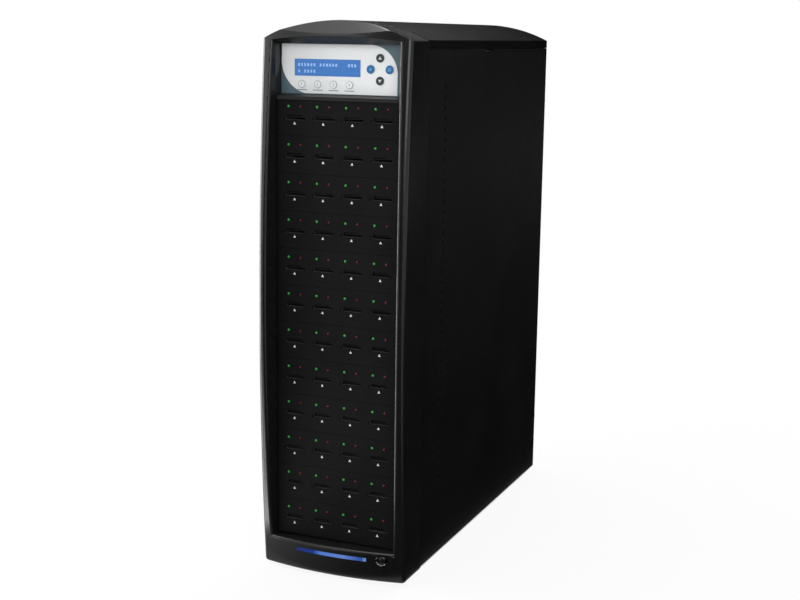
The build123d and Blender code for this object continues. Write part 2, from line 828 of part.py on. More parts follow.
for i, bottom in enumerate(row_bottoms):
    with BuildPart() as reader_fascia:
        with Locations((0, 0, bottom)):
            add(fascia.part)
    save(reader_fascia, f"reader_fascia_{i + 1:02d}")

for name, offset in (("green_lamps", -lamp_offset), ("red_lamps", lamp_offset)):
    with BuildPart() as lamps:
        with BuildSketch(facing_front(lamp_board_y)):
            for z in row_bottoms:
                with Locations(*[(x + offset, z + lamp_rise) for x in column_places]):
                    RegularPolygon(lamp_radius, lamp_sides)
        extrude(amount=lamp_board_y - fascia_y + lamp_proud)
    save(lamps, name)

# Boards on folded trays: the topmost tray, behind the control panel, carries the controller
plate_recess = 10.0
plate_y = fascia_y + plate_recess
overlay = 0.4
plate = 2.5
plate_return = 10.0
plate_back_y = plate_y + overlay + plate + plate_return
controller_y = plate_back_y + running_gap
lamp_board_edge = 3.0
lamp_board_width = (columns - 1) * slot_pitch + 2 * (lamp_offset + lamp_board_edge)
lamp_board_height = 10.0
tray_sheet = 1.0
tray_half = half_bay - running_gap
tray_step = 3.0
tray_shoulder = 8.0
tray_side = 12.0
board_side = 2.0
board_half = tray_half - tray_sheet - board_side
tray_start_y = fascia_y + fascia_wall + fascia_return + running_gap
tray_back = 4.0
tray_end_y = board_end_y - tray_back
board_front = 0.5
board_start_y = fascia_y + fascia_wall + board_front


def tray_outline(shoulder_z):
    """Folded tray seen from the front: a floor, a shoulder at each side and upturned sides."""
    floor_half = board_half - tray_shoulder
    with BuildSketch() as outline:
        with BuildLine():
            Polyline(
                (-tray_half, shoulder_z + tray_side),
                (-tray_half, shoulder_z - tray_sheet),
                (-floor_half - tray_sheet, shoulder_z - tray_sheet),
                (-floor_half - tray_sheet, shoulder_z - tray_step - tray_sheet),
                (floor_half + tray_sheet, shoulder_z - tray_step - tray_sheet),
                (floor_half + tray_sheet, shoulder_z - tray_sheet),
                (tray_half, shoulder_z - tray_sheet),
                (tray_half, shoulder_z + tray_side),
                (tray_half - tray_sheet, shoulder_z + tray_side),
                (tray_half - tray_sheet, shoulder_z),
                (floor_half, shoulder_z),
                (floor_half, shoulder_z - tray_step),
                (-floor_half, shoulder_z - tray_step),
                (-floor_half, shoulder_z),
                (-tray_half + tray_sheet, shoulder_z),
                (-tray_half + tray_sheet, shoulder_z + tray_side),
                close=True,
            )
        make_face()
    return outline.sketch


with BuildPart() as bay_trays:
    for floor_z in tray_floors:
        start_y = tray_start_y if floor_z < stack_top else controller_y
        with BuildSketch(facing_front(tray_end_y)):
            add(tray_outline(floor_z))
        extrude(amount=tray_end_y - start_y)
save(bay_trays, "bay_trays")

with BuildPart() as reader_boards:
    for bottom in row_bottoms:
        with BuildSketch(Plane.XY.offset(bottom + board_rise)):
            with Locations((0, (board_start_y + board_end_y) / 2)):
                Rectangle(2 * board_half, board_end_y - board_start_y)
        extrude(amount=board)
    with BuildSketch(facing_front(lamp_board_y + board)):
        with Locations(*[(0, z + lamp_rise) for z in row_bottoms]):
            Rectangle(lamp_board_width, lamp_board_height)
    extrude(amount=board)
save(reader_boards, "reader_boards")

socket_width = 28.0
socket_length = 29.0
socket_height = 3.9
socket_mouth_width = 24.6
socket_mouth_height = 2.5
socket_back = 2.0
socket_z = board_rise + board
with BuildPart() as card_sockets:
    with BuildSketch(facing_front(board_start_y + socket_length)):
        for z in row_bottoms:
            with Locations(*[(x, z + socket_z + socket_height / 2) for x in column_places]):
                Rectangle(socket_width, socket_height)
    extrude(amount=socket_length)
    with BuildSketch(facing_front(board_start_y + socket_length - socket_back)):
        for z in row_bottoms:
            with Locations(*[(x, z + slot_rise) for x in column_places]):
                Rectangle(socket_mouth_width, socket_mouth_height)
    extrude(amount=socket_length, mode=Mode.SUBTRACT)
save(card_sockets, "card_sockets")

# Backplane: an upright board with one edge connector for each row
connector_length = 9.0
connector_width = 70.0
connector_height = 8.0
connector_wall = 1.0
connector_play = 0.1
backplane_edge = 3.0
backplane_side = 6.0
backplane_height = rows * row_pitch - 2 * backplane_edge
with BuildPart() as backplane_board:
    with BuildSketch(facing_front(wall_end_y)):
        with Locations((0, (stack_bottom + stack_top) / 2)):
            Rectangle(2 * (half_bay - backplane_side), backplane_height)
    extrude(amount=backplane)
    with BuildSketch(facing_front(backplane_y)):
        with Locations(*[(0, z + board_rise + board / 2) for z in row_bottoms]):
            Rectangle(connector_width, connector_height)
    extrude(amount=connector_length)
    with BuildSketch(facing_front(board_end_y + connector_play)):
        with Locations(*[(0, z + board_rise + board / 2) for z in row_bottoms]):
            Rectangle(connector_width + 2 * connector_wall, board + 2 * connector_play)
    extrude(amount=connector_length, mode=Mode.SUBTRACT)
save(backplane_board, "backplane_board")


# Screws: self-tapping ones into plastic, machine screws into sheet steel
screw_head = 1.8
screw_fit = 0.05
screw_end_gap = 1.0
small_head_radius = 2.6
foot_head_radius = 3.8

with BuildPart() as self_tapping_screws:
    frame_back_y = wall_start_y + sheet
    for head_y, places, length in (
        (frame_back_y, bezel_screw_places, 2 * sheet + bezel_screw_length - screw_end_gap),
        (front_board_y + board, front_board_posts, board + board_screw_bite),
    ):
        with BuildSketch(facing_front(head_y + screw_head)):
            with Locations(*places):
                RegularPolygon(small_head_radius, 8)
        extrude(amount=screw_head)
        with BuildSketch(facing_front(head_y)):
            with Locations(*places):
                RegularPolygon(screw_radius - screw_fit, 8)
        extrude(amount=length)
    with BuildSketch(Plane.XY.offset(cover_bottom - screw_head)):
        with Locations(*cover_boss_places):
            RegularPolygon(2 * screw_radius, 8)
    extrude(amount=screw_head)
    with BuildSketch(Plane.XY.offset(cover_bottom)):
        with Locations(*cover_boss_places):
            RegularPolygon(screw_radius - screw_fit, 8)
    extrude(amount=sheet + lip_height - 2 * screw_end_gap)
save(self_tapping_screws, "self_tapping_screws")

with BuildPart() as machine_screws:
    with BuildSketch(facing_front(rear_face_y + screw_head)):
        with Locations(*fan_screw_places, *supply_screw_places):
            RegularPolygon(2 * rear_screw_radius, 8)
    extrude(amount=screw_head)
    with BuildSketch(facing_front(rear_face_y)):
        with Locations(*fan_screw_places, *supply_screw_places):
            RegularPolygon(rear_screw_radius - screw_fit, 8)
    extrude(amount=sheet + rear_screw_bite)
    for side in (-1, 1):
        with BuildSketch(Plane.YZ.offset(side * wall_outer)):
            with Locations(*[(screw_row_y, z) for z in bay_screw_z]):
                RegularPolygon(2 * wall_screw_radius, 6)
        extrude(amount=side * screw_head)
        with BuildSketch(Plane.YZ.offset(side * wall_outer)):
            with Locations(*[(screw_row_y, z) for z in bay_screw_z]):
                RegularPolygon(wall_screw_radius, 6, major_radius=False)
        extrude(amount=-side * (sheet + running_gap))
    with BuildSketch(Plane.XY.offset(foot_height / 2 - screw_head)):
        with Locations(*foot_places):
            RegularPolygon(foot_head_radius, 8)
    extrude(amount=screw_head)
    with BuildSketch(Plane.XY.offset(foot_height / 2)):
        with Locations(*foot_places):
            RegularPolygon(foot_screw_radius - screw_fit, 8)
    extrude(amount=foot_height / 2 + sheet - screw_play)
save(machine_screws, "machine_screws")


# Control bay: ledge, plate, overlay, display and keys
ledge_rise = 3.6
ledge_top = stack_top + ledge_rise
ledge_back = 6.0
flat_gap = 0.1
ledge_lip = 2.6
ledge_proud = 1.5
ledge_edge = 1.2
with BuildPart() as bay_ledge:
    with BuildSketch(Plane.YZ.offset(-(half_bay - running_gap))):
        with BuildLine():
            Polyline(
                (fascia_y - ledge_proud, stack_top - ledge_lip),
                (fascia_y - running_gap, stack_top - ledge_lip),
                (fascia_y - running_gap, stack_top + flat_gap),
                (plate_y + ledge_back, stack_top + flat_gap),
                (plate_y + ledge_back, ledge_top),
                (plate_y, ledge_top),
                (fascia_y - ledge_proud, stack_top + ledge_edge),
                close=True,
            )
        make_face()
    extrude(amount=2 * (half_bay - running_gap))
save(bay_ledge, "bay_ledge")

plate_bottom = ledge_top + flat_gap
plate_top = brow_z - running_gap
plate_half = half_bay - running_gap
display_x = -17.7
display_z = stack_top + 32.6
display_width = 80.4
display_height = 18.6
key_radius = 4.6
function_key_radius = 4.2
key_fit = 0.15
key_travel = 0.6
key_proud = 0.7
cross_x = 45.7
cross_z = stack_top + 32.0
cross_half_width = 11.2
cross_half_height = 12.2
function_row_z = stack_top + 14.4
function_row_x = -48.7
function_pitch = 19.3
function_keys = 4
keys = {
    "up_key": (cross_x, cross_z + cross_half_height, key_radius),
    "down_key": (cross_x, cross_z - cross_half_height, key_radius),
    "left_key": (cross_x - cross_half_width, cross_z, key_radius),
    "right_key": (cross_x + cross_half_width, cross_z, key_radius),
}
for k in range(function_keys):
    key_x = function_row_x + k * function_pitch
    keys[f"function_key_{k + 1}"] = (key_x, function_row_z, function_key_radius)

key_flange = 0.8
key_flange_y = plate_y + overlay + plate + flat_gap
key_rim = 1.0
key_nib_width = 3.0
key_nib = 1.0
key_end_y = key_flange_y + key_flange + key_nib
key_switch_gap = 0.15
key_switch_y = key_end_y + key_travel + key_switch_gap
key_switch_depth = 3.0
key_switch_width = 5.0
keypad_y = key_switch_y + key_switch_depth
keypad_post_radius = 2.0
keypad_post_side = 16.0
keypad_posts = [
    (function_row_x - function_pitch / 2, function_row_z),
    (function_row_x + (function_keys - 0.5) * function_pitch, function_row_z),
    (cross_x - keypad_post_side, cross_z + keypad_post_side),
    (cross_x + keypad_post_side, cross_z + keypad_post_side),
]

with BuildSketch() as panel_holes:
    with Locations((display_x, display_z)):
        Rectangle(display_width, display_height)
    for x, z, radius in keys.values():
        with Locations((x, z)):
            Circle(radius + key_fit)

with BuildPart() as control_panel_plate:
    with BuildSketch(facing_front(plate_back_y)):
        with Locations((0, (plate_bottom + plate_top) / 2)):
            Rectangle(2 * plate_half, plate_top - plate_bottom)
    extrude(amount=plate + plate_return)
    with BuildSketch(facing_front(plate_back_y)):
        with Locations((0, (plate_bottom + plate_top) / 2)):
            Rectangle(2 * (plate_half - plate), plate_top - plate_bottom - 2 * plate)
    extrude(amount=plate_return, mode=Mode.SUBTRACT)
    with BuildSketch(facing_front(plate_back_y)):
        add(panel_holes.sketch)
    extrude(amount=plate + plate_return, mode=Mode.SUBTRACT)
    # Posts behind the plate carry the keypad board
    with BuildSketch(facing_front(keypad_y)):
        with Locations(*keypad_posts):
            Circle(keypad_post_radius)
    extrude(amount=keypad_y - plate_y - overlay - plate / 2)
save(control_panel_plate, "control_panel_plate")

overlay_bottom = plate_bottom + 0.6
overlay_top = plate_top - 0.2
overlay_left = -73.6
overlay_right = 66.2
overlay_left_z = stack_top + 46.0
overlay_left_middle = (-66.5, stack_top + 18.1)
overlay_bottom_x = -45.0
overlay_top_x = 36.6
overlay_right_middle = (54.4, stack_top + 51.2)
overlay_right_z = stack_top + 22.0
with BuildPart() as control_overlay:
    with BuildSketch(facing_front(plate_y + overlay)):
        with BuildLine():
            Line((overlay_left, overlay_top), (overlay_top_x, overlay_top))
            ThreePointArc(
                (overlay_top_x, overlay_top),
                overlay_right_middle,
                (overlay_right, overlay_right_z),
            )
            Polyline(
                (overlay_right, overlay_right_z),
                (overlay_right, overlay_bottom),
                (overlay_bottom_x, overlay_bottom),
            )
            ThreePointArc(
                (overlay_bottom_x, overlay_bottom),
                overlay_left_middle,
                (overlay_left, overlay_left_z),
            )
            Line((overlay_left, overlay_left_z), (overlay_left, overlay_top))
        make_face()
        add(panel_holes.sketch, mode=Mode.SUBTRACT)
    extrude(amount=overlay)
save(control_overlay, "control_overlay")

with BuildPart() as display_window:
    with BuildSketch(facing_front(plate_y + overlay + plate)):
        with Locations((display_x, display_z)):
            Rectangle(display_width - 2 * flat_gap, display_height - 2 * flat_gap)
    extrude(amount=overlay + plate)
save(display_window, "display_window")

display_module_depth = 7.0
display_module_side = 3.5
display_module_edge = 3.0
display_module_rise = 1.0
with BuildPart() as display_module:
    with BuildSketch(facing_front(plate_y + overlay + plate + display_module_depth)):
        with Locations((display_x, display_z + display_module_rise)):
            Rectangle(
                display_width + 2 * display_module_side,
                display_height + 2 * display_module_edge,
            )
    extrude(amount=display_module_depth)
save(display_module, "display_module")

for name, (x, z, radius) in keys.items():
    with BuildPart() as key:
        with BuildSketch(facing_front(key_flange_y + key_flange)):
            with Locations((x, z)):
                Circle(radius)
        extrude(amount=key_flange_y + key_flange - plate_y + key_proud)
        with BuildSketch(facing_front(key_flange_y + key_flange)):
            with Locations((x, z)):
                Circle(radius + key_rim)
        extrude(amount=key_flange)
        with BuildSketch(facing_front(key_end_y)):
            with Locations((x, z)):
                Rectangle(key_nib_width, key_nib_width)
        extrude(amount=key_nib)
    save(key, name)

keypad_edge = 5.0
keypad_left_edge = 2.5
strip_left = function_row_x - function_pitch / 2 - keypad_edge
strip_right = cross_x + keypad_post_side + keypad_edge
cross_left = cross_x - keypad_post_side - keypad_left_edge
cross_top = cross_z + keypad_post_side + keypad_edge
with BuildPart() as keypad_board:
    with BuildSketch(facing_front(keypad_y + board)):
        with Locations(((strip_left + strip_right) / 2, function_row_z)):
            Rectangle(strip_right - strip_left, 2 * keypad_edge)
        with Locations(((cross_left + strip_right) / 2, (cross_top + function_row_z) / 2)):
            Rectangle(strip_right - cross_left, cross_top - function_row_z)
    extrude(amount=board)
    with BuildSketch(facing_front(keypad_y)):
        with Locations(*[(x, z) for x, z, radius in keys.values()]):
            Rectangle(key_switch_width, key_switch_width)
    extrude(amount=key_switch_depth)
save(keypad_board, "keypad_board")

with BuildPart() as controller_board:
    with BuildSketch(Plane.XY.offset(stack_top + controller_rise)):
        with Locations((0, (controller_y + board_end_y) / 2)):
            Rectangle(2 * board_half, board_end_y - controller_y)
    extrude(amount=board)
save(controller_board, "controller_board")


# Power supply: a steel box with a fan pocket and a mains module at its rear
supply_fan_x = -28.0
supply_fan_radius = 37.0
supply_fan_depth = 24.0
supply_shaft_radius = 2.0
supply_shaft = 8.0
fan_pocket_gap = 1.5
module_x = 44.0
module_width = 27.0
module_height = 60.0
mains_depth = 19.0
module_back = 1.0
module_play = 0.1
inlet_drop = 18.5
rocker_rise = 13.5
inlet_z = supply_z - inlet_drop
rocker_z = supply_z + rocker_rise
grille_slots = 8

with BuildPart() as power_supply:
    with BuildSketch(facing_front(rear_inner_y)):
        with Locations((0, supply_z)):
            Rectangle(supply_width, supply_height)
    extrude(amount=supply_length)
    with BuildSketch(facing_front(rear_inner_y)):
        add(grille(supply_fan_x, supply_z, supply_fan_radius, grille_slots))
    extrude(amount=sheet, mode=Mode.SUBTRACT)
    with BuildSketch(facing_front(rear_inner_y - sheet)):
        with Locations((supply_fan_x, supply_z)):
            Circle(supply_fan_radius + fan_pocket_gap)
    extrude(amount=supply_fan_depth, mode=Mode.SUBTRACT)
    with BuildSketch(facing_front(rear_inner_y)):
        with Locations((module_x, supply_z)):
            Rectangle(module_width, module_height)
    extrude(amount=mains_depth + module_back, mode=Mode.SUBTRACT)
    with BuildSketch(facing_front(rear_inner_y)):
        with Locations(*supply_screw_places):
            RegularPolygon(rear_screw_radius, 8)
    extrude(amount=rear_screw_bite + screw_end_gap, mode=Mode.SUBTRACT)
    with BuildSketch(facing_front(rear_inner_y - sheet - supply_fan_depth + supply_shaft)):
        with Locations((supply_fan_x, supply_z)):
            Circle(supply_shaft_radius)
    extrude(amount=supply_shaft)
save(power_supply, "power_supply")


blades = 7
blade_pitch = 35.0
blade_thickness = 1.8
blade_root = 2.0
blade_share = 0.9
bearing_share = 0.6
bearing_gap = 0.06


def fan_rotor(x, z, front_y, depth, hub_radius, tip_radius, shaft_radius):
    """A hub with pitched blades, turning about +Y through x and z."""
    pitch = radians(blade_pitch)
    with BuildPart() as rotor:
        with BuildSketch(facing_front(front_y + depth)):
            with Locations((x, z)):
                Circle(hub_radius)
        extrude(amount=depth)
        for k in range(blades):
            turn = 2 * pi * k / blades
            radial = (cos(turn), 0, sin(turn))
            normal = (-sin(turn) * cos(pitch), sin(pitch), cos(turn) * cos(pitch))
            middle = (tip_radius + hub_radius) / 2
            blade_plane = Plane(
                origin=(x + middle * cos(turn), front_y + depth / 2, z + middle * sin(turn)),
                x_dir=radial,
                z_dir=normal,
            )
            with BuildSketch(blade_plane):
                Rectangle(tip_radius - hub_radius + 2 * blade_root, depth * blade_share)
            extrude(amount=blade_thickness / 2, both=True)
        with BuildSketch(facing_front(front_y + depth)):
            with Locations((x, z)):
                Circle(tip_radius)
        extrude(amount=depth, mode=Mode.INTERSECT)
        with BuildSketch(facing_front(front_y + depth * bearing_share)):
            with Locations((x, z)):
                Circle(shaft_radius + bearing_gap)
        extrude(amount=depth, mode=Mode.SUBTRACT)
    return rotor.part


rotor_end_gap = 1.0
supply_rotor_depth = 20.0
supply_hub_radius = 15.0
supply_tip_gap = 0.5
supply_rotor_y = rear_inner_y - sheet - supply_fan_depth + rotor_end_gap
with BuildPart() as supply_rotor:
    add(
        fan_rotor(
            supply_fan_x,
            supply_z,
            supply_rotor_y,
            supply_rotor_depth,
            supply_hub_radius,
            supply_fan_radius - supply_tip_gap,
            supply_shaft_radius,
        )
    )
save(supply_rotor, "supply_rotor")

# Mains module: inlet below, rocker well above, in one moulded housing
pin_width = 2.0
pin_height = 4.0
pin_length = 12.0
pin_pitch = 7.0
pin_offset = 2.0
inlet_width = 24.4
inlet_height = 16.4
mouth_depth = 16.0
well_width = 15.0
well_height = 24.0
well_depth = 9.0
module_inset = 0.6
module_face_y = rear_inner_y + module_inset
with BuildPart() as power_inlet:
    with BuildSketch(facing_front(module_face_y)):
        with Locations((module_x, supply_z)):
            Rectangle(module_width - 2 * module_play, module_height - 2 * module_play)
    extrude(amount=mains_depth)
    with BuildSketch(facing_front(module_face_y)):
        with Locations((module_x, inlet_z)):
            Rectangle(inlet_width, inlet_height)
    extrude(amount=mouth_depth, mode=Mode.SUBTRACT)
    with BuildSketch(facing_front(module_face_y)):
        with Locations((module_x, rocker_z)):
            Rectangle(well_width, well_height)
    extrude(amount=well_depth, mode=Mode.SUBTRACT)
    with BuildSketch(facing_front(module_face_y - mouth_depth + pin_length)):
        with Locations(
            (module_x - pin_pitch, inlet_z - pin_offset),
            (module_x, inlet_z + pin_offset),
            (module_x + pin_pitch, inlet_z - pin_offset),
        ):
            Rectangle(pin_width, pin_height)
    extrude(amount=pin_length)
save(power_inlet, "power_inlet")

# Rocker: a shallow V on a level pivot, stored with its upper end pressed in
rocker_tilt = 9.0
rocker_half = 10.8
rocker_edge = 3.2
rocker_waist = 1.6
rocker_depth = 5.5
rocker_play = 0.3
rocker_width = well_width - 2 * rocker_play
rocker_inset = 1.0
rocker_pivot_y = module_face_y - rocker_inset

with BuildSketch() as rocker_outline:
    with BuildLine():
        Polyline(
            (-rocker_waist, -rocker_half),
            (rocker_edge, -rocker_half),
            (rocker_waist, 0),
            (rocker_edge, rocker_half),
            (-rocker_waist, rocker_half),
            (-rocker_depth, rocker_edge),
            (-rocker_depth, -rocker_edge),
            close=True,
        )
    make_face()

with BuildPart() as power_rocker:
    with BuildSketch(Plane.YZ.offset(module_x - rocker_width / 2)):
        with Locations(Location((rocker_pivot_y, rocker_z, 0), (0, 0, rocker_tilt))):
            add(rocker_outline.sketch)
    extrude(amount=rocker_width)
save(power_rocker, "power_rocker")


# Case fans on the rear panel
fan_tip_gap = 1.2
fan_rotor_radius = fan_bore - fan_tip_gap
fan_corner = 5.0
strut_root = 1.0
hub_cup_gap = 1.0
hub_play = 0.5
fan_hub_radius = 20.0
fan_strut = 4.0
fan_shaft_radius = 2.5
fan_web = 3.0
fan_shaft = 11.0
fan_hub_y = rear_inner_y - fan_depth + fan_web
with BuildPart() as fan_frames:
    with BuildSketch(facing_front(rear_inner_y)):
        for z in fan_heights:
            with Locations((0, z)):
                RectangleRounded(fan_size, fan_size, fan_corner)
                Circle(fan_bore, mode=Mode.SUBTRACT)
        with Locations(*fan_screw_places):
            RegularPolygon(rear_screw_radius, 8, mode=Mode.SUBTRACT)
    extrude(amount=fan_depth)
    with BuildSketch(facing_front(fan_hub_y)):
        for z in fan_heights:
            with Locations((0, z)):
                Circle(fan_hub_radius)
                Rectangle(2 * (fan_bore + strut_root), fan_strut)
                Rectangle(fan_strut, 2 * (fan_bore + strut_root))
    extrude(amount=fan_web)
    with BuildSketch(facing_front(fan_hub_y + fan_shaft)):
        for z in fan_heights:
            with Locations((0, z)):
                Circle(fan_shaft_radius)
    extrude(amount=fan_shaft)
save(fan_frames, "fan_frames")

fan_rotor_depth = fan_depth - fan_web - 2 * rotor_end_gap
for name, z in zip(("lower_fan_rotor", "upper_fan_rotor"), fan_heights):
    with BuildPart() as case_fan_rotor:
        add(
            fan_rotor(
                0,
                z,
                fan_hub_y + hub_play,
                fan_rotor_depth,
                fan_hub_radius - hub_cup_gap,
                fan_rotor_radius,
                fan_shaft_radius,
            )
        )
    save(case_fan_rotor, name)


# Cables: power from the supply up to the backplane, and a flat cable to the controller board
cable_radius = 4.0
cable_x = 30.0
cable_bend = 18.0
cable_lead = 60.0
cable_tail = 40.0
ribbon_width = 40.0
ribbon = 1.2
ribbon_drop = 34.0
ribbon_stand = 14.0
ribbon_gap = 2.0
supply_front_y = rear_inner_y - supply_length
cable_top_z = stack_bottom + row_pitch * 1.5
with BuildPart() as cables:
    with BuildLine() as cable_path:
        FilletPolyline(
            (cable_x, supply_front_y, supply_z),
            (cable_x, supply_front_y - cable_lead, supply_z),
            (cable_x, wall_end_y + cable_tail, cable_top_z),
            (cable_x, wall_end_y, cable_top_z),
            radius=cable_bend,
        )
    with BuildSketch(facing_front(supply_front_y)):
        with Locations((cable_x, supply_z)):
            RegularPolygon(cable_radius, 8)
    sweep()
    ribbon_top = stack_top + controller_rise + board
    ribbon_bottom = stack_top - ribbon_drop
    ribbon_y = wall_end_y + ribbon_stand
    with BuildSketch(Plane.YZ.offset(-ribbon_width / 2)):
        with BuildLine():
            Polyline(
                (board_end_y + ribbon_gap, ribbon_top),
                (board_end_y + ribbon_gap, ribbon_top + ribbon),
                (ribbon_y, ribbon_top + ribbon),
                (ribbon_y, ribbon_bottom),
                (wall_end_y, ribbon_bottom),
                (wall_end_y, ribbon_bottom + ribbon),
                (ribbon_y - ribbon, ribbon_bottom + ribbon),
                (ribbon_y - ribbon, ribbon_top),
                close=True,
            )
        make_face()
    extrude(amount=ribbon_width)
save(cables, "cables")
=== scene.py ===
# %% [markdown]
# # A memory card duplicator tower
# The object is a tall black case that copies memory cards: a bulged moulded bezel, a white control
# panel with a blue display and eight round keys, and twelve rows of four card slots below it. The
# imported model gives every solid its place. This lesson adds the camera, the light, the finishes,
# the small printed marks and the domes of the lamps.

# %% Load the frame
import json
import math
import bmesh
import bpy
from mathutils import Matrix, Vector

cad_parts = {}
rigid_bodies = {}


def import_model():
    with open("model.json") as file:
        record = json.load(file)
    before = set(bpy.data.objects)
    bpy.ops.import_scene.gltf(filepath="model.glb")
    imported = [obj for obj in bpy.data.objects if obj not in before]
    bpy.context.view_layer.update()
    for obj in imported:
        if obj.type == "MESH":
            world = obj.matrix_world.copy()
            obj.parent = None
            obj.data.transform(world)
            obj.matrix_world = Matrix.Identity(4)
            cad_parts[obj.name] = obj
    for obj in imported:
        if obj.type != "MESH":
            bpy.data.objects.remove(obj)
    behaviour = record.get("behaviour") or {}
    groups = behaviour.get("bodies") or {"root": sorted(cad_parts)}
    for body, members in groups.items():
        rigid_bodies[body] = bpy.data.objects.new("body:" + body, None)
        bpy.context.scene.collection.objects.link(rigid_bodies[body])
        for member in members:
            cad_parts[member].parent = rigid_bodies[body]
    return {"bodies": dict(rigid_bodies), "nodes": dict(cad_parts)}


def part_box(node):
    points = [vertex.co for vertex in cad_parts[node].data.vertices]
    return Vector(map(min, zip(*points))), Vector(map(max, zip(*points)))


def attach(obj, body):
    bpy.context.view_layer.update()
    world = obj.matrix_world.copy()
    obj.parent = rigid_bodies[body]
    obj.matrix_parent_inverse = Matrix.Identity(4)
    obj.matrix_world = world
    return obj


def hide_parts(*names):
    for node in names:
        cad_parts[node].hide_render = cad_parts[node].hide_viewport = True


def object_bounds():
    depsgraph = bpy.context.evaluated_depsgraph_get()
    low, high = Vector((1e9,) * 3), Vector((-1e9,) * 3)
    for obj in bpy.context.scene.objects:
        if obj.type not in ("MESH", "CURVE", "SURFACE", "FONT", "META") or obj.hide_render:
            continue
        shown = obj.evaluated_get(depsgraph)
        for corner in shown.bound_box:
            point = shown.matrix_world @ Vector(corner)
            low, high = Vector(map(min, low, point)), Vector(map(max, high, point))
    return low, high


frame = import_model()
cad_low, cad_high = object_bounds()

scene = bpy.context.scene
nodes = frame["nodes"]
kept = set(nodes.values()) | set(frame["bodies"].values())
for extra in [o for o in bpy.data.objects if o not in kept]:
    bpy.data.objects.remove(extra)

# %% [markdown]
# ## The camera
# The photographer stood to the right of the tower and looked slightly down on it, with the camera
# at about the height of its top. The place and the lens come from fitting a camera to the regular
# grid of slot marks, whose spacing is known. The camera's axes are built from its azimuth, its
# elevation and a slight roll.

# %% Camera
CAMERA_PLACE = Vector((0.6588, -1.62005, 0.6187))
azimuth, elevation, roll = (math.radians(v) for v in (22.778, 10.814, 0.824))
back = Vector((
    math.sin(azimuth) * math.cos(elevation),
    -math.cos(azimuth) * math.cos(elevation),
    math.sin(elevation),
))
level = Vector((math.cos(azimuth), math.sin(azimuth), 0.0))
upward = back.cross(level)
right = level * math.cos(roll) + upward * math.sin(roll)
up = upward * math.cos(roll) - level * math.sin(roll)

camera_data = bpy.data.cameras.new("camera")
camera_data.sensor_width = 36.0
camera_data.lens = 62.57
camera_data.clip_start = 0.05
camera = bpy.data.objects.new("camera", camera_data)
facing = Matrix((right, up, back)).transposed().to_4x4()
camera.matrix_world = Matrix.Translation(CAMERA_PLACE) @ facing
scene.collection.objects.link(camera)
scene.camera = camera
print("camera at", [round(v, 3) for v in CAMERA_PLACE])

# %% [markdown]
# ## The studio's white
# A white backdrop surrounds the tower. The eye, polished metal and clear plastic see it as full
# white. Matt surfaces get only a part of it as light, so that black plastic stays black and
# nothing clips. The Light Path node tells the kinds of ray apart.

# %% Telling the rays apart
def math_node(tree, operation, first, second):
    """A math node whose inputs are sockets or numbers; returns its output."""
    node = tree.nodes.new("ShaderNodeMath")
    node.operation = operation
    for socket, value in zip(node.inputs, (first, second)):
        if isinstance(value, (int, float)):
            socket.default_value = value
        else:
            tree.links.new(value, socket)
    return node.outputs[0]


def seen_rays(tree):
    """One where a camera, glossy or transmission ray looks, and nought for the others."""
    rays = tree.nodes.new("ShaderNodeLightPath").outputs
    camera_or_glossy = math_node(tree, "MAXIMUM", rays["Is Camera Ray"], rays["Is Glossy Ray"])
    return math_node(tree, "MAXIMUM", camera_or_glossy, rays["Is Transmission Ray"])


def mix_shaders(tree, factor, first, second, out):
    """Mixes two shaders by a factor socket into the surface of an output node."""
    choose = tree.nodes.new("ShaderNodeMixShader")
    tree.links.new(factor, choose.inputs["Fac"])
    tree.links.new(first.outputs[0], choose.inputs[1])
    tree.links.new(second.outputs[0], choose.inputs[2])
    tree.links.new(choose.outputs[0], out.inputs["Surface"])


print("ray helpers ready")

# %% [markdown]
# The world has two backgrounds: a full white one for the rays that see it, and a fainter one that
# gives light to the matt surfaces.

# %% World
scene.view_settings.view_transform = "Standard"
world = bpy.data.worlds.new("studio")
scene.world = world
world.use_nodes = True
tree = world.node_tree
tree.nodes.clear()
out = tree.nodes.new("ShaderNodeOutputWorld")
shown = tree.nodes.new("ShaderNodeBackground")
shown.inputs["Color"].default_value = (1.0, 1.0, 1.0, 1.0)
shown.inputs["Strength"].default_value = 1.0
given = tree.nodes.new("ShaderNodeBackground")
given.inputs["Color"].default_value = (0.93, 0.97, 1.0, 1.0)
given.inputs["Strength"].default_value = 0.30
mix_shaders(tree, seen_rays(tree), given, shown, out)
print("white backdrop, light strength", given.inputs["Strength"].default_value)

# %% [markdown]
# ## Lamps
# Black plastic shows little of its own colour: what the eye reads is what it mirrors. So each lamp
# is a soft panel placed for the edge that it draws. A wide wall of light at the left brightens the
# left outer edge, a strong upright panel before it draws the line down the right inner edge of the
# opening, one at the upper left draws the line along the sill, one above and behind draws the line
# along the arch, a faint one before the brow gives it its grey, one at the front right lights the
# control panel and one behind lights the rear. A place is given by its turn from the front, its
# height angle and its distance, and the brightness is that of the panel itself, so a panel can
# grow without the mirrored line growing brighter.

# %% Soft panels
TOWER_FRONT = Vector((0.0, -0.22, 0.33))
TOWER_HEAD = Vector((0.0, -0.20, 0.60))


def soft_panel(name, turn, rise, distance, size, brightness, aim=TOWER_FRONT):
    """A rectangular lamp, turned and raised about the aim point, that faces it."""
    a, e = math.radians(turn), math.radians(rise)
    toward = Vector((math.sin(a) * math.cos(e), -math.cos(a) * math.cos(e), math.sin(e)))
    data = bpy.data.lights.new(name, "AREA")
    data.shape = "RECTANGLE"
    data.size, data.size_y = size
    data.energy = brightness * math.pi * size[0] * size[1]
    lamp = bpy.data.objects.new(name, data)
    lamp.location = aim + toward * distance
    lamp.rotation_mode = "QUATERNION"
    lamp.rotation_quaternion = (-toward).to_track_quat("-Z", "Y")
    lamp.visible_camera = False
    scene.collection.objects.link(lamp)
    return lamp


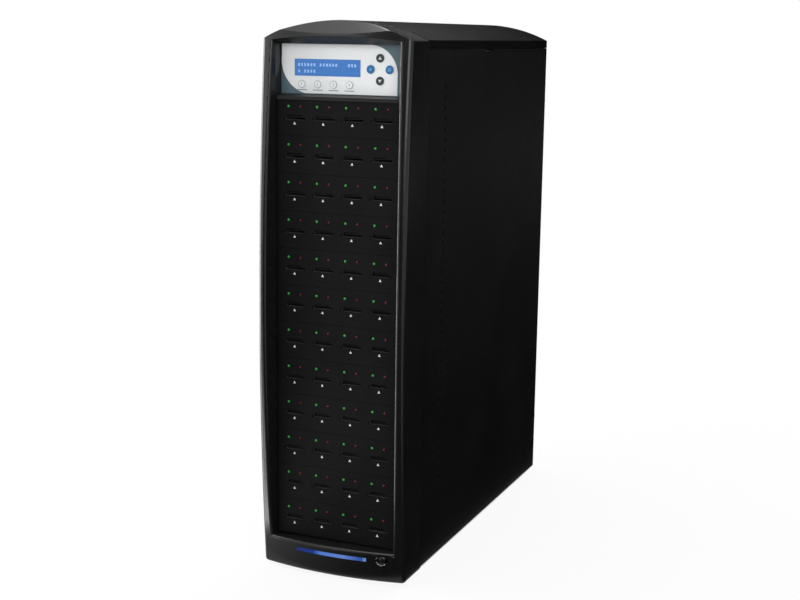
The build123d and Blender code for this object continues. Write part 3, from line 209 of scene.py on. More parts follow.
# name, turn and rise in degrees, distance, width and height, brightness, and the aim point
lamps = [
    soft_panel("left_wall_lamp", -100, 8, 1.15, (1.9, 1.3), 3.2),
    soft_panel("edge_line_lamp", -78, 6, 1.05, (0.34, 1.3), 9.0),
    soft_panel("sill_line_lamp", -34, 70, 1.5, (0.9, 0.7), 5.0),
    soft_panel("panel_lamp", 34, 20, 1.9, (1.1, 0.9), 5.7),
    soft_panel("brow_lamp", -23, 5, 1.9, (0.7, 0.5), 2.2, TOWER_HEAD),
    soft_panel("arch_line_lamp", -10, 124, 1.3, (1.2, 0.9), 7.5, TOWER_HEAD),
    soft_panel("rear_lamp", 170, 34, 2.2, (1.4, 1.0), 2.5),
]
print({lamp.name: round(lamp.data.energy, 1) for lamp in lamps}, "watts")

# %% [markdown]
# ## Floor
# The floor must stay white in the picture and still hold a soft shadow, so its material mixes a
# matt pale surface with an even glow for the same rays that see the white backdrop. Close to the
# tower a share stays matt and takes the shadow. Farther out the glow takes over, and no horizon
# shows.

# %% Floor
FLOOR_REACH = 40.0
SHADOW_REACH, GLOW_REACH = 0.25, 1.1
GLOW_NEAR_TOWER = 0.90
floor_mesh = bpy.data.meshes.new("floor")
corners = [(-1, -1), (1, -1), (1, 1), (-1, 1)]
floor_mesh.from_pydata([(x * FLOOR_REACH, y * FLOOR_REACH, 0) for x, y in corners], [], [range(4)])
floor = bpy.data.objects.new("floor", floor_mesh)
scene.collection.objects.link(floor)
floor_material = bpy.data.materials.new("pale_floor")
floor_material.use_nodes = True
tree = floor_material.node_tree
tree.nodes.clear()
out = tree.nodes.new("ShaderNodeOutputMaterial")
matt = tree.nodes.new("ShaderNodeBsdfDiffuse")
matt.inputs["Color"].default_value = (0.55, 0.55, 0.55, 1.0)
glow = tree.nodes.new("ShaderNodeEmission")
glow.inputs["Color"].default_value = (1.0, 1.0, 1.0, 1.0)
glow.inputs["Strength"].default_value = 1.0
away = tree.nodes.new("ShaderNodeVectorMath")
away.operation = "LENGTH"
tree.links.new(tree.nodes.new("ShaderNodeTexCoord").outputs["Object"], away.inputs[0])
spread = tree.nodes.new("ShaderNodeMapRange")
spread.interpolation_type = "SMOOTHSTEP"
spread.inputs["From Min"].default_value = SHADOW_REACH
spread.inputs["From Max"].default_value = GLOW_REACH
spread.inputs["To Min"].default_value = GLOW_NEAR_TOWER
spread.inputs["To Max"].default_value = 1.0
tree.links.new(away.outputs["Value"], spread.inputs["Value"])
share = math_node(tree, "MULTIPLY", seen_rays(tree), spread.outputs["Result"])
mix_shaders(tree, share, matt, glow, out)
floor_mesh.materials.append(floor_material)
print("floor with a soft shadow")

# %% [markdown]
# ## Cards
# A photographer stands black cards beside a black object, out of the frame, so that its sides and
# top mirror something dark and stay black. Here they lie and hang beside the right side, behind
# the top and before the right half of the front, where the nearest one fades out to the left. A
# bright card on the floor at the left carries the line of the right inner edge on down to the
# sill. Only mirror rays meet the cards: the camera, the light and the shadows pass by.

# %% A card that only mirrors see
CARD_HEIGHT, CARD_GAP = 0.002, 0.004


def studio_card(name, corner_points, brightness=0.0, fade=None):
    """A flat card that only glossy rays meet; fade gives the x where it starts and is whole."""
    mesh = bpy.data.meshes.new(name)
    mesh.from_pydata(corner_points, [], [range(len(corner_points))])
    material = bpy.data.materials.new(name)
    material.use_nodes = True
    card_tree = material.node_tree
    card_tree.nodes.clear()
    surface = card_tree.nodes.new("ShaderNodeEmission")
    surface.inputs["Strength"].default_value = brightness
    card_out = card_tree.nodes.new("ShaderNodeOutputMaterial")
    if fade:
        across = card_tree.nodes.new("ShaderNodeSeparateXYZ")
        card_tree.links.new(
            card_tree.nodes.new("ShaderNodeTexCoord").outputs["Object"], across.inputs[0]
        )
        whole = card_tree.nodes.new("ShaderNodeMapRange")
        whole.interpolation_type = "SMOOTHSTEP"
        whole.inputs["From Min"].default_value, whole.inputs["From Max"].default_value = fade
        card_tree.links.new(across.outputs["X"], whole.inputs["Value"])
        clear = card_tree.nodes.new("ShaderNodeBsdfTransparent")
        mix_shaders(card_tree, whole.outputs["Result"], clear, surface, card_out)
    else:
        card_tree.links.new(surface.outputs[0], card_out.inputs["Surface"])
    mesh.materials.append(material)
    card = bpy.data.objects.new(name, mesh)
    scene.collection.objects.link(card)
    for ray in ("camera", "diffuse", "shadow", "transmission", "volume_scatter"):
        setattr(card, f"visible_{ray}", False)


def on_floor(*places):
    """Corner points just above the floor, from (x, y) places."""
    return [(x, y, CARD_HEIGHT) for x, y in places]


def upright(y, *places):
    """Corner points in an upright plane that faces the front, from (x, z) places."""
    return [(x, y, z) for x, z in places]


print("card maker ready")

# %% [markdown]
# The side card lies along the right side, and the far card and the top card stand behind the
# tower. Three cards run away from the front: two on the floor and one upright beyond the camera.
# The bright card lies at the left.

# %% Cards
SIDE_X, FAR_Y, TOP_Y = 1.9, 3.4, 1.5
MIDDLE_Y, FRONT_Y = -0.6, -2.4
beside_x = cad_high.x + CARD_GAP
before_y = cad_low.y - CARD_GAP
studio_card("side_card", on_floor(
    (beside_x, -0.30), (SIDE_X, -0.30), (SIDE_X, FAR_Y), (beside_x, FAR_Y)
))
studio_card("far_card", upright(FAR_Y, (0.6, 0.0), (2.9, 0.0), (2.9, 1.5), (0.6, 1.5)))
studio_card("top_card", upright(TOP_Y, (-1.6, 0.45), (SIDE_X, 0.45), (SIDE_X, 2.3), (-1.6, 2.3)))
studio_card("near_front_card", on_floor(
    (-0.30, before_y), (0.30, before_y), (0.6, MIDDLE_Y), (-0.45, MIDDLE_Y)
), fade=(-0.20, 0.07))
studio_card("front_floor_card", on_floor(
    (-0.13, MIDDLE_Y), (0.6, MIDDLE_Y), (1.6, FRONT_Y), (-0.80, FRONT_Y)
))
studio_card("front_card", upright(
    FRONT_Y, (-0.80, 0.0), (1.6, 0.0), (1.6, 1.1), (-0.25, 1.1), (-0.80, 0.42)
))
studio_card("left_bright_card", on_floor(
    (-0.15, -0.35), (-0.96, -0.70), (-1.07, -0.34), (-0.174, -0.26)
), brightness=9.0)
print("cards from x =", round(beside_x, 3), "and from y =", round(before_y, 3))

# %% [markdown]
# ## Effects that several finishes share
# Moulded plastic, powder paint and plated steel all have a fine relief, slow changes of sheen
# where hands have been, and a little dust on level faces. Each effect is a node group that puts
# out a mask or a height, and each material uses it with its own values.

# %% Small helpers for node trees
def new_group(name, inputs, outputs):
    """An empty shader node group with float sockets; returns the tree and its two end nodes."""
    group = bpy.data.node_groups.new(name, "ShaderNodeTree")
    for label, value in inputs:
        socket = group.interface.new_socket(
            name=label, in_out="INPUT", socket_type="NodeSocketFloat"
        )
        socket.default_value = value
    for label in outputs:
        group.interface.new_socket(name=label, in_out="OUTPUT", socket_type="NodeSocketFloat")
    return group, group.nodes.new("NodeGroupInput"), group.nodes.new("NodeGroupOutput")


def noise(tree, vector, scale, detail, roughness):
    """A noise texture whose vector and scale are sockets; returns its output."""
    node = tree.nodes.new("ShaderNodeTexNoise")
    node.inputs["Detail"].default_value = detail
    node.inputs["Roughness"].default_value = roughness
    tree.links.new(vector, node.inputs["Vector"])
    tree.links.new(scale, node.inputs["Scale"])
    return node.outputs["Fac"]


print("helpers ready")

# %% [markdown]
# Moulded grain is the fine pebble that a spark-eroded mould leaves: small cells with a softer
# noise between them.

# %% Moulded grain
grain, ends_in, ends_out = new_group("moulded_grain", [("Scale", 900.0)], ["Height"])
place = grain.nodes.new("ShaderNodeTexCoord").outputs["Object"]
cells = grain.nodes.new("ShaderNodeTexVoronoi")
grain.links.new(place, cells.inputs["Vector"])
grain.links.new(ends_in.outputs["Scale"], cells.inputs["Scale"])
SOFT_SHARE, PEBBLE_HEIGHT = 0.45, 0.6
soft_scale = math_node(grain, "MULTIPLY", ends_in.outputs["Scale"], SOFT_SHARE)
fine = noise(grain, place, soft_scale, detail=3.0, roughness=0.6)
pebble = math_node(grain, "MULTIPLY", cells.outputs["Distance"], PEBBLE_HEIGHT)
grain.links.new(math_node(grain, "ADD", pebble, fine), ends_out.inputs["Height"])
print(grain.name, len(grain.nodes), "nodes")

# %% [markdown]
# Handling is where skin and cloth have polished or dulled the surface: broad soft patches with
# fainter streaks in them. It changes colour and sheen a little, never the form.

# %% Handling
handling, ends_in, ends_out = new_group("handling", [("Scale", 9.0), ("Contrast", 1.0)], ["Mask"])
place = handling.nodes.new("ShaderNodeTexCoord").outputs["Object"]
STREAK_FINENESS, STREAK_SHARE = 7.0, 0.35
MEAN_LEVEL = 0.67
broad = noise(handling, place, ends_in.outputs["Scale"], detail=4.0, roughness=0.55)
streak_scale = math_node(handling, "MULTIPLY", ends_in.outputs["Scale"], STREAK_FINENESS)
streak = noise(handling, place, streak_scale, detail=3.0, roughness=0.5)
both = math_node(handling, "ADD", math_node(handling, "MULTIPLY", streak, STREAK_SHARE), broad)
centred = math_node(handling, "SUBTRACT", both, MEAN_LEVEL)
strong = math_node(handling, "MULTIPLY", centred, ends_in.outputs["Contrast"])
handling.links.new(math_node(handling, "ADD", strong, 0.5), ends_out.inputs["Mask"])
print(handling.name, len(handling.nodes), "nodes")

# %% [markdown]
# Dust settles on faces that look up, in specks. The mask takes the upward part of the surface
# normal and breaks it with a fine noise.

# %% Dust
dust, ends_in, ends_out = new_group("dust", [("Amount", 0.3), ("Scale", 160.0)], ["Mask"])
place = dust.nodes.new("ShaderNodeTexCoord").outputs["Object"]
facing = dust.nodes.new("ShaderNodeSeparateXYZ")
dust.links.new(dust.nodes.new("ShaderNodeNewGeometry").outputs["Normal"], facing.inputs[0])
SPECK_CONTRAST, UPRIGHT_SHARE = 3.0, 0.15
scatter = noise(dust, place, ends_in.outputs["Scale"], detail=5.0, roughness=0.7)
specks = math_node(dust, "POWER", scatter, SPECK_CONTRAST)
upper = math_node(dust, "MAXIMUM", facing.outputs["Z"], 0.0)
spread = math_node(dust, "MULTIPLY", math_node(dust, "ADD", upper, UPRIGHT_SHARE), specks)
amount = math_node(dust, "MULTIPLY", spread, ends_in.outputs["Amount"])
dust.links.new(amount, ends_out.inputs["Mask"])
print(dust.name, len(dust.nodes), "nodes")

# %% [markdown]
# Rolled steel keeps the long faint lines of the mill. A noise that is stretched along one axis
# gives them, for the plated sheets and, finer, for the shells of the card sockets.

# %% Rolled steel
rolled, ends_in, ends_out = new_group("rolled_steel", [("Scale", 60.0)], ["Height"])
place = rolled.nodes.new("ShaderNodeTexCoord").outputs["Object"]
LINE_FINENESS = 22.0
stretch = rolled.nodes.new("ShaderNodeMapping")
stretch.inputs["Scale"].default_value = (1.0, LINE_FINENESS, LINE_FINENESS)
rolled.links.new(place, stretch.inputs["Vector"])
lines = stretch.outputs["Vector"]
mill_lines = noise(rolled, lines, ends_in.outputs["Scale"], detail=4.0, roughness=0.6)
rolled.links.new(mill_lines, ends_out.inputs["Height"])
print(rolled.name, len(rolled.nodes), "nodes")

# %% [markdown]
# ## Finishes
# Every finish is one Principled shader. Its colour varies a little with the handling mask and,
# where dust lies, with the dust mask, its roughness follows the handling mask, and its relief
# comes through a Bump node. Where no worn colour is given, a touched place is a little lighter
# than the rest. A relief is a group, its scale and its depth in metres.

# %% A finish from the shared effects
def use_group(tree, group, **values):
    """Places a shared group in a material with its own values; returns its first output."""
    node = tree.nodes.new("ShaderNodeGroup")
    node.node_tree = group
    for label, value in values.items():
        node.inputs[label].default_value = value
    return node.outputs[0]


def mix_color(tree, factor, first, second):
    """Mixes two colours, each a tuple or a socket, by a factor socket."""
    node = tree.nodes.new("ShaderNodeMix")
    node.data_type = "RGBA"
    tree.links.new(factor, node.inputs["Factor"])
    for label, value in (("A", first), ("B", second)):
        socket = [s for s in node.inputs if s.name == label and s.type == "RGBA"][0]
        if isinstance(value, tuple):
            socket.default_value = (*value, 1.0)
        else:
            tree.links.new(value, socket)
    return [s for s in node.outputs if s.type == "RGBA"][0]


DUST_COLOR = (0.32, 0.31, 0.29)
TOUCH_GAIN, TOUCH_LIFT = 1.25, 0.001


def make_finish(name, color, rough, relief=None, worn=None, dusty=0.0, swing=0.08, **sockets):
    """A Principled material: colour, roughness and relief vary over the surface."""
    material = bpy.data.materials.new(name)
    material.use_nodes = True
    tree = material.node_tree
    shader = tree.nodes["Principled BSDF"]
    touch = use_group(tree, handling, Scale=9.0, Contrast=1.6)
    touched = worn or tuple(min(1.0, c * TOUCH_GAIN + TOUCH_LIFT) for c in color)
    base = mix_color(tree, touch, color, touched)
    if dusty:
        base = mix_color(tree, use_group(tree, dust, Amount=dusty), base, DUST_COLOR)
    tree.links.new(base, shader.inputs["Base Color"])
    sheen = math_node(tree, "MULTIPLY", math_node(tree, "SUBTRACT", touch, 0.5), swing * 2)
    tree.links.new(math_node(tree, "ADD", sheen, rough), shader.inputs["Roughness"])
    if relief:
        group, scale, depth = relief
        bump = tree.nodes.new("ShaderNodeBump")
        bump.inputs["Strength"].default_value = 1.0
        bump.inputs["Distance"].default_value = depth
        tree.links.new(use_group(tree, group, Scale=scale), bump.inputs["Height"])
        tree.links.new(bump.outputs["Normal"], shader.inputs["Normal"])
    for label, value in sockets.items():
        shader.inputs[label.replace("_", " ")].default_value = value
    return material


finishes = {}
print("finish maker ready")

# %% [markdown]
# The blacks differ. The bezel is a satin moulding that mirrors the lamps as soft bands. The reader
# fascias, the arched cover and the painted side panels are nearly dead matt, so their specular
# level is low. The ledge below the control panel is a lighter satin strip.

# %% Black mouldings and paint
finishes["bezel"] = make_finish(
    "bezel_satin_black", (0.0040, 0.0041, 0.0043), 0.24, (grain, 1100.0, 0.00001), dusty=0.03,
    swing=0.04, Specular_IOR_Level=0.30,
)
finishes["reader"] = make_finish(
    "reader_matt_black", (0.0030, 0.0030, 0.0030), 0.50, (grain, 1500.0, 0.00003), dusty=0.03,
    Specular_IOR_Level=0.06,
)
finishes["cover"] = make_finish(
    "cover_matt_black", (0.0018, 0.0018, 0.0019), 0.44, (grain, 1000.0, 0.00002), dusty=0.01,
    Specular_IOR_Level=0.018,
)
finishes["side"] = make_finish(
    "side_powder_black", (0.0026, 0.0026, 0.0027), 0.48, (grain, 700.0, 0.00003), dusty=0.02,
    Specular_IOR_Level=0.05,
)
finishes["ledge"] = make_finish(
    "ledge_satin_grey", (0.010, 0.010, 0.0105), 0.34, (grain, 1200.0, 0.00002), dusty=0.03,
    Specular_IOR_Level=0.12,
)
print(len(finishes), "black finishes")

# %% [markdown]
# The frame inside is zinc plated sheet and the screws are nickel plated. The card sockets' metal
# shells are given a dull dark grey as painted shade, for the shadow behind the slots, so that no
# glint shows through them, and the trim round the power button is smoked metal.

# %% Metals
finishes["zinc"] = make_finish(
    "zinc_plated_sheet", (0.52, 0.53, 0.54), 0.36, (rolled, 60.0, 0.00002), dusty=0.2, Metallic=1.0,
)
finishes["nickel"] = make_finish(
    "nickel_plated_screw", (0.62, 0.61, 0.58), 0.26, (grain, 500.0, 0.00001), Metallic=1.0,
)
# painted shade: the socket shells are dark grey for the shadow they sit in, not for their metal
finishes["socket"] = make_finish(
    "shade_dark_socket_shell", (0.05, 0.05, 0.051), 0.55, (rolled, 90.0, 0.00001),
    Specular_IOR_Level=0.1,
)
finishes["trim"] = make_finish(
    "smoked_trim_ring", (0.09, 0.09, 0.095), 0.20, (grain, 400.0, 0.000004), swing=0.03,
    Metallic=1.0,
)
print("zinc, nickel, sockets and trim")

# %% [markdown]
# The control panel is a slate plate with a white printed film on it. The keys are painted caps:
# two grey, two blue and four white ones.

# %% Control panel and keys
finishes["slate"] = make_finish(
    "slate_panel", (0.060, 0.098, 0.118), 0.44, (grain, 1300.0, 0.00002), dusty=0.05,
)
finishes["film"] = make_finish(
    "white_film", (0.70, 0.715, 0.72), 0.36, (grain, 1600.0, 0.00001), worn=(0.73, 0.745, 0.75),
    dusty=0.03,
)
finishes["blue_key"] = make_finish(
    "blue_key", (0.006, 0.105, 0.27), 0.28, (grain, 900.0, 0.00001), Specular_IOR_Level=0.3,
)
finishes["grey_key"] = make_finish(
    "grey_key", (0.021, 0.025, 0.029), 0.34, (grain, 900.0, 0.00001), Specular_IOR_Level=0.3,
)
finishes["white_key"] = make_finish(
    "white_key", (0.66, 0.67, 0.68), 0.32, (grain, 900.0, 0.00001),
)
finishes["print_white"] = make_finish(
    "white_print", (0.48, 0.49, 0.48), 0.5, (grain, 900.0, 0.00001),
)
finishes["print_blue"] = make_finish(
    "pale_blue_print", (0.16, 0.40, 0.66), 0.5, (grain, 900.0, 0.00001),
)
finishes["print_grey"] = make_finish(
    "grey_print", (0.16, 0.17, 0.19), 0.5, (grain, 900.0, 0.00001),
)
print("panel, keys and prints")

# %% [markdown]
# Inside are green boards, black moulded modules and sleeved cables, and the tower stands on rubber
# feet.

# %% Inner parts and feet
finishes["circuit"] = make_finish(
    "green_board", (0.012, 0.11, 0.035), 0.38, (grain, 350.0, 0.00004), dusty=0.1,
)
finishes["module"] = make_finish(
    "moulded_black", (0.010, 0.010, 0.011), 0.42, (grain, 900.0, 0.00003), dusty=0.1,
)
finishes["rubber"] = make_finish(
    "foot_rubber", (0.012, 0.012, 0.012), 0.68, (grain, 600.0, 0.00005), dusty=0.3,
)
finishes["sleeve"] = make_finish(
    "cable_sleeve", (0.020, 0.020, 0.022), 0.52, (grain, 500.0, 0.00005),
)
print(len(finishes), "finishes")

# %% [markdown]
# ## Indicator lamps
# A lit green lamp is a tinted lens with an even glow. The red lamps are off, and their tint gets a
# faint painted glow. Both are glossy, which gives each a small highlight.

# %% Indicator lamp finishes
def add_glow(material, color, strength):
    """Gives a material an even glow of one colour."""
    shader = material.node_tree.nodes["Principled BSDF"]
    shader.inputs["Emission Color"].default_value = (*color, 1.0)
    shader.inputs["Emission Strength"].default_value = strength
    return material


green = make_finish(
    "green_lamp_lit", (0.005, 0.09, 0.012), 0.22, (grain, 300.0, 0.00001), Specular_IOR_Level=0.25,
)
finishes["green_lamp"] = add_glow(green, (0.030, 0.42, 0.045), 0.30)
red = make_finish(
    "red_lamp_off", (0.050, 0.0015, 0.005), 0.22, (grain, 300.0, 0.00001), Specular_IOR_Level=0.15,
)
# painted light: a faint red glow on lamps that are off
finishes["red_lamp"] = add_glow(red, (0.42, 0.006, 0.030), 0.05)
print("green lit, red off")

# %% [markdown]
# ## Light bar
# The bar is a clear guide lit from behind by a row of chips. Its left end is nearly dark, the
# middle is a paler blue, and the glow fades towards the right, where only the very end shines
# again. A colour ramp along its length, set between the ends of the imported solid, carries that
# change.

# %% Light bar finish
def ramp_along(tree, axis, low, high, stops):
    """A colour ramp along one axis of the object's own space, between two places in metres."""
    split = tree.nodes.new("ShaderNodeSeparateXYZ")
    tree.links.new(tree.nodes.new("ShaderNodeTexCoord").outputs["Object"], split.inputs[0])
    span = tree.nodes.new("ShaderNodeMapRange")
    span.inputs["From Min"].default_value = low
    span.inputs["From Max"].default_value = high
    tree.links.new(split.outputs[axis], span.inputs["Value"])
    ramp = tree.nodes.new("ShaderNodeValToRGB")
    elements = ramp.color_ramp.elements
    while len(elements) < len(stops):
        elements.new(0.5)
    for element, (position, color) in zip(elements, stops):
        element.position = position
        element.color = (*color, 1.0)
    tree.links.new(span.outputs["Result"], ramp.inputs["Fac"])
    return ramp.outputs["Color"]


bar_low, bar_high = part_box("light_bar")
lens = make_finish(
    "light_bar_lens", (0.006, 0.018, 0.10), 0.16, (grain, 300.0, 0.00001), Specular_IOR_Level=0.15,
)
tree = lens.node_tree
BAR_GLOW_STRENGTH = 0.72
bar_glow = ramp_along(tree, "X", bar_low.x, bar_high.x, [
    (0.0, (0.001, 0.003, 0.02)),
    (0.26, (0.003, 0.013, 0.14)),
    (0.36, (0.09, 0.22, 0.60)),
    (0.68, (0.15, 0.28, 0.68)),
    (0.92, (0.02, 0.07, 0.28)),
    (1.0, (0.28, 0.46, 0.90)),
])
shader = tree.nodes["Principled BSDF"]
tree.links.new(bar_glow, shader.inputs["Emission Color"])
shader.inputs["Emission Strength"].default_value = BAR_GLOW_STRENGTH
finishes["lens"] = lens
print("light bar from", round(bar_low.x, 4), "to", round(bar_high.x, 4))

# %% [markdown]
# ## Display
# The display is a blue panel lit evenly from behind. Its character cells show as a faint lighter
# grid, which a brick pattern gives when it is turned into the front plane.

# %% Display finish
display = make_finish("display_blue", (0.008, 0.040, 0.13), 0.14, Specular_IOR_Level=0.20)
tree = display.node_tree
cell_grid = tree.nodes.new("ShaderNodeTexBrick")
cell_grid.offset = 0.0
cell_grid.inputs["Color1"].default_value = (0.024, 0.116, 0.33, 1.0)
cell_grid.inputs["Color2"].default_value = (0.025, 0.121, 0.345, 1.0)
cell_grid.inputs["Mortar"].default_value = (0.031, 0.138, 0.375, 1.0)
cell_grid.inputs["Scale"].default_value = 1.0
cell_grid.inputs["Mortar Size"].default_value = 0.0004
cell_grid.inputs["Brick Width"].default_value = 0.0042
cell_grid.inputs["Row Height"].default_value = 0.0072
turn = tree.nodes.new("ShaderNodeMapping")
turn.inputs["Rotation"].default_value = (math.radians(-90), 0, 0)
tree.links.new(tree.nodes.new("ShaderNodeTexCoord").outputs["Object"], turn.inputs["Vector"])
tree.links.new(turn.outputs["Vector"], cell_grid.inputs["Vector"])
shader = tree.nodes["Principled BSDF"]
tree.links.new(cell_grid.outputs["Color"], shader.inputs["Emission Color"])
shader.inputs["Emission Strength"].default_value = 1.0
finishes["display"] = display
lit_dots = make_finish("display_characters", (0.35, 0.50, 0.75), 0.3, (grain, 900.0, 0.000004))
finishes["display_white"] = add_glow(lit_dots, (0.40, 0.60, 0.90), 0.45)
print("display ready")

# %% [markdown]
# ## Dress the solids
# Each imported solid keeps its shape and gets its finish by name. A table from finish to names is
# easy to read and to change, and a count at the end shows that none was missed.

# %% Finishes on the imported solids
ROWS, COLUMNS = 12, 4
fascias = [f"reader_fascia_{row:02d}" for row in range(1, ROWS + 1)]
function_keys = [f"function_key_{number}" for number in (1, 2, 3, 4)]
dressing = {
    "bezel": ["front_bezel", "power_button"],
    "cover": ["top_cover"],
    "side": ["right_side_panel", "left_side_panel"],
    "reader": fascias,
    "ledge": ["bay_ledge"],
    "zinc": [
        "chassis_floor", "front_frame", "bay_walls", "rear_panel", "top_panel", "bay_trays",
        "power_supply",
    ],
    "nickel": [
        "right_thumbscrews", "left_thumbscrews", "self_tapping_screws", "machine_screws",
    ],
    "socket": ["card_sockets"],
    "trim": ["power_button_ring"],
    "slate": ["control_panel_plate"],
    "film": ["control_overlay"],
    "blue_key": ["left_key", "right_key"],
    "grey_key": ["up_key", "down_key"],
    "white_key": function_keys,
    "circuit": [
        "reader_boards", "backplane_board", "controller_board", "keypad_board", "front_board",
    ],
    "module": [
        "display_module", "power_switch", "power_inlet", "power_rocker", "fan_frames",
        "lower_fan_rotor", "upper_fan_rotor", "supply_rotor",
    ],
    "rubber": ["feet"],
    "sleeve": ["cables"],
    "green_lamp": ["green_lamps"],
    "red_lamp": ["red_lamps"],
    "lens": ["light_bar"],
    "display": ["display_window"],
}
dressed = set()
for finish, names in dressing.items():
    for name in names:
        solid = nodes[name]
        solid.data.materials.clear()
        solid.data.materials.append(finishes[finish])
        dressed.add(name)
print(len(dressed), "solids dressed, left over:", sorted(set(nodes) - dressed))

# %% [markdown]
# ## Where the rows and columns are
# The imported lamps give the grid: each row has four slots with a green lamp at the left and a red
# one at the right of each. Half the way between the two is the middle of a slot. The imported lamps
# have six sides, so they reach less far up and down than their radius.

# %% Grid of the slots
LAMP_RADIUS = 0.00145
PIN_SIDES = 6
green_low, green_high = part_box("green_lamps")
red_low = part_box("red_lamps")[0]
lamp_flat = LAMP_RADIUS * math.cos(math.pi / PIN_SIDES)
ROW_PITCH = (green_high.z - green_low.z - 2 * lamp_flat) / (ROWS - 1)
SLOT_PITCH = (green_high.x - green_low.x - 2 * LAMP_RADIUS) / (COLUMNS - 1)
LAMP_OFFSET = (red_low.x - green_low.x) / 2
FASCIA_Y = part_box("reader_fascia_01")[0].y
lamp_rows = [green_low.z + lamp_flat + i * ROW_PITCH for i in range(ROWS)]
columns = [green_low.x + LAMP_RADIUS + LAMP_OFFSET + i * SLOT_PITCH for i in range(COLUMNS)]
print("row pitch", round(ROW_PITCH, 5), "slot pitch", round(SLOT_PITCH, 5))

# %% [markdown]
# ## Printed marks
# Below each slot a small pale triangle points up to it. All forty-eight are one thin print, so
# they are one mesh of thin prisms that stand 0.05 mm proud of the fascias.

# %% Slot marks
def new_piece(name, form):
    """Turns a mesh that is being built into an object of the scene."""
    bmesh.ops.recalc_face_normals(form, faces=form.faces)
    mesh = bpy.data.meshes.new(name)
    form.to_mesh(mesh)
    form.free()
    piece = bpy.data.objects.new(name, mesh)
    scene.collection.objects.link(piece)
    return piece


def front_prisms(name, outlines, front_y, thickness):
    """Thin prisms that face the front; an outline lists (x, z) points, anticlockwise."""
    form = bmesh.new()
    for outline in outlines:
        front = [form.verts.new((x, front_y, z)) for x, z in outline]
        rear = [form.verts.new((x, front_y + thickness, z)) for x, z in outline]
        form.faces.new(front)
        form.faces.new(rear[::-1])
        for k in range(len(outline)):
            n = (k + 1) % len(outline)
            form.faces.new((front[k], rear[k], rear[n], front[n]))
    return new_piece(name, form)


def finish_piece(piece, finish, body):
    """Gives a new piece its material and the body that it rides on."""
    piece.data.materials.append(finishes[finish])
    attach(piece, body)


MARK_DROP = 0.0185
MARK_HALF, MARK_LOW, MARK_HIGH = 0.0016, 0.0014, 0.0016
PRINT_THICKNESS = 0.00005
marks = []
for lamp_z in lamp_rows:
    z = lamp_z - MARK_DROP
    for x in columns:
        base_z, tip_z = z - MARK_LOW, z + MARK_HIGH
        marks.append([(x - MARK_HALF, base_z), (x + MARK_HALF, base_z), (x, tip_z)])
slot_marks = front_prisms("slot_marks", marks, FASCIA_Y - PRINT_THICKNESS, PRINT_THICKNESS)
finish_piece(slot_marks, "print_white", "tower")
print(len(marks), "slot marks")

# %% [markdown]
# ## Lamp domes
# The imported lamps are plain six-sided pins. Close up a real lamp is a small clear dome, so each
# group is replaced by smooth low domes of the same size, each on a short barrel.

# %% Lamp domes
BARREL_LENGTH = 0.006
DOME_RISE = 0.00085
SIDES, RINGS = 14, 5


def add_dome(form, x, z):
    """One dome on its barrel, added to a mesh that is being built."""
    profile = [(LAMP_RADIUS, BARREL_LENGTH)]
    for k in range(RINGS):
        angle = k * math.pi / 2 / RINGS
        profile.append((LAMP_RADIUS * math.cos(angle), -DOME_RISE * math.sin(angle)))
    loops = []
    for radius, depth in profile:
        loop = []
        for s in range(SIDES):
            a = 2 * math.pi * s / SIDES
            point = (x + radius * math.cos(a), FASCIA_Y + depth, z + radius * math.sin(a))
            loop.append(form.verts.new(point))
        loops.append(loop)
    tip = form.verts.new((x, FASCIA_Y - DOME_RISE, z))
    for low, high in zip(loops[:-1], loops[1:]):
        for s in range(SIDES):
            n = (s + 1) % SIDES
            form.faces.new((low[s], low[n], high[n], high[s])).smooth = True
    for s in range(SIDES):
        form.faces.new((loops[-1][s], loops[-1][(s + 1) % SIDES], tip)).smooth = True
    form.faces.new(loops[0][::-1])


def lamp_domes(name, offset, finish, node):
    """One mesh of forty-eight domed lamps that stand out of the fascias."""
    form = bmesh.new()
    for z in lamp_rows:
        for x in columns:
            add_dome(form, x + offset, z)
    piece = new_piece(name, form)
    finish_piece(piece, finish, "tower")
    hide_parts(node)
    return piece


green_domes = lamp_domes(
    "green_lamp_domes", -LAMP_OFFSET, "green_lamp", "green_lamps"
)
red_domes = lamp_domes("red_lamp_domes", LAMP_OFFSET, "red_lamp", "red_lamps")
print("lamp domes:", len(green_domes.data.vertices) + len(red_domes.data.vertices), "points")

# %% [markdown]
# ## Marks on the keys
# Rings and digits are runs of short four-sided outlines, which the thin prisms of the slot marks
# then turn into prints.

# %% Bars, rings and digits
def bar_outline(x, z, length, width, turn_deg):
    """A straight bar about x and z, turned in the front plane."""
    c, s = math.cos(math.radians(turn_deg)), math.sin(math.radians(turn_deg))
    u, v = length / 2, width / 2
    return [(x + a * c - b * s, z + a * s + b * c) for a, b in ((-u, -v), (u, -v), (u, v), (-u, v))]


def ring_outlines(x, z, outer, inner, steps=28):
    """A flat ring as a run of four-sided outlines."""
    outlines = []
    for k in range(steps):
        a, b = 2 * math.pi * k / steps, 2 * math.pi * (k + 1) / steps
        outlines.append([
            (x + inner * math.cos(a), z + inner * math.sin(a)),
            (x + outer * math.cos(a), z + outer * math.sin(a)),
            (x + outer * math.cos(b), z + outer * math.sin(b)),
            (x + inner * math.cos(b), z + inner * math.sin(b)),
        ])
    return outlines


# digits as strokes on a grid two wide and four high
DIGIT_MIDDLE_X, DIGIT_MIDDLE_Z = 1, 2
digit_strokes = {
    "1": [((1, 0), (1, 4)), ((0.2, 3.2), (1, 4))],
    "2": [((0, 4), (2, 4)), ((2, 4), (2, 2)), ((2, 2), (0, 2)), ((0, 2), (0, 0)), ((0, 0), (2, 0))],
    "3": [((0, 4), (2, 4)), ((2, 4), (2, 0)), ((0, 2), (2, 2)), ((0, 0), (2, 0))],
    "4": [((0, 4), (0, 2)), ((0, 2), (2, 2)), ((2, 4), (2, 0))],
}


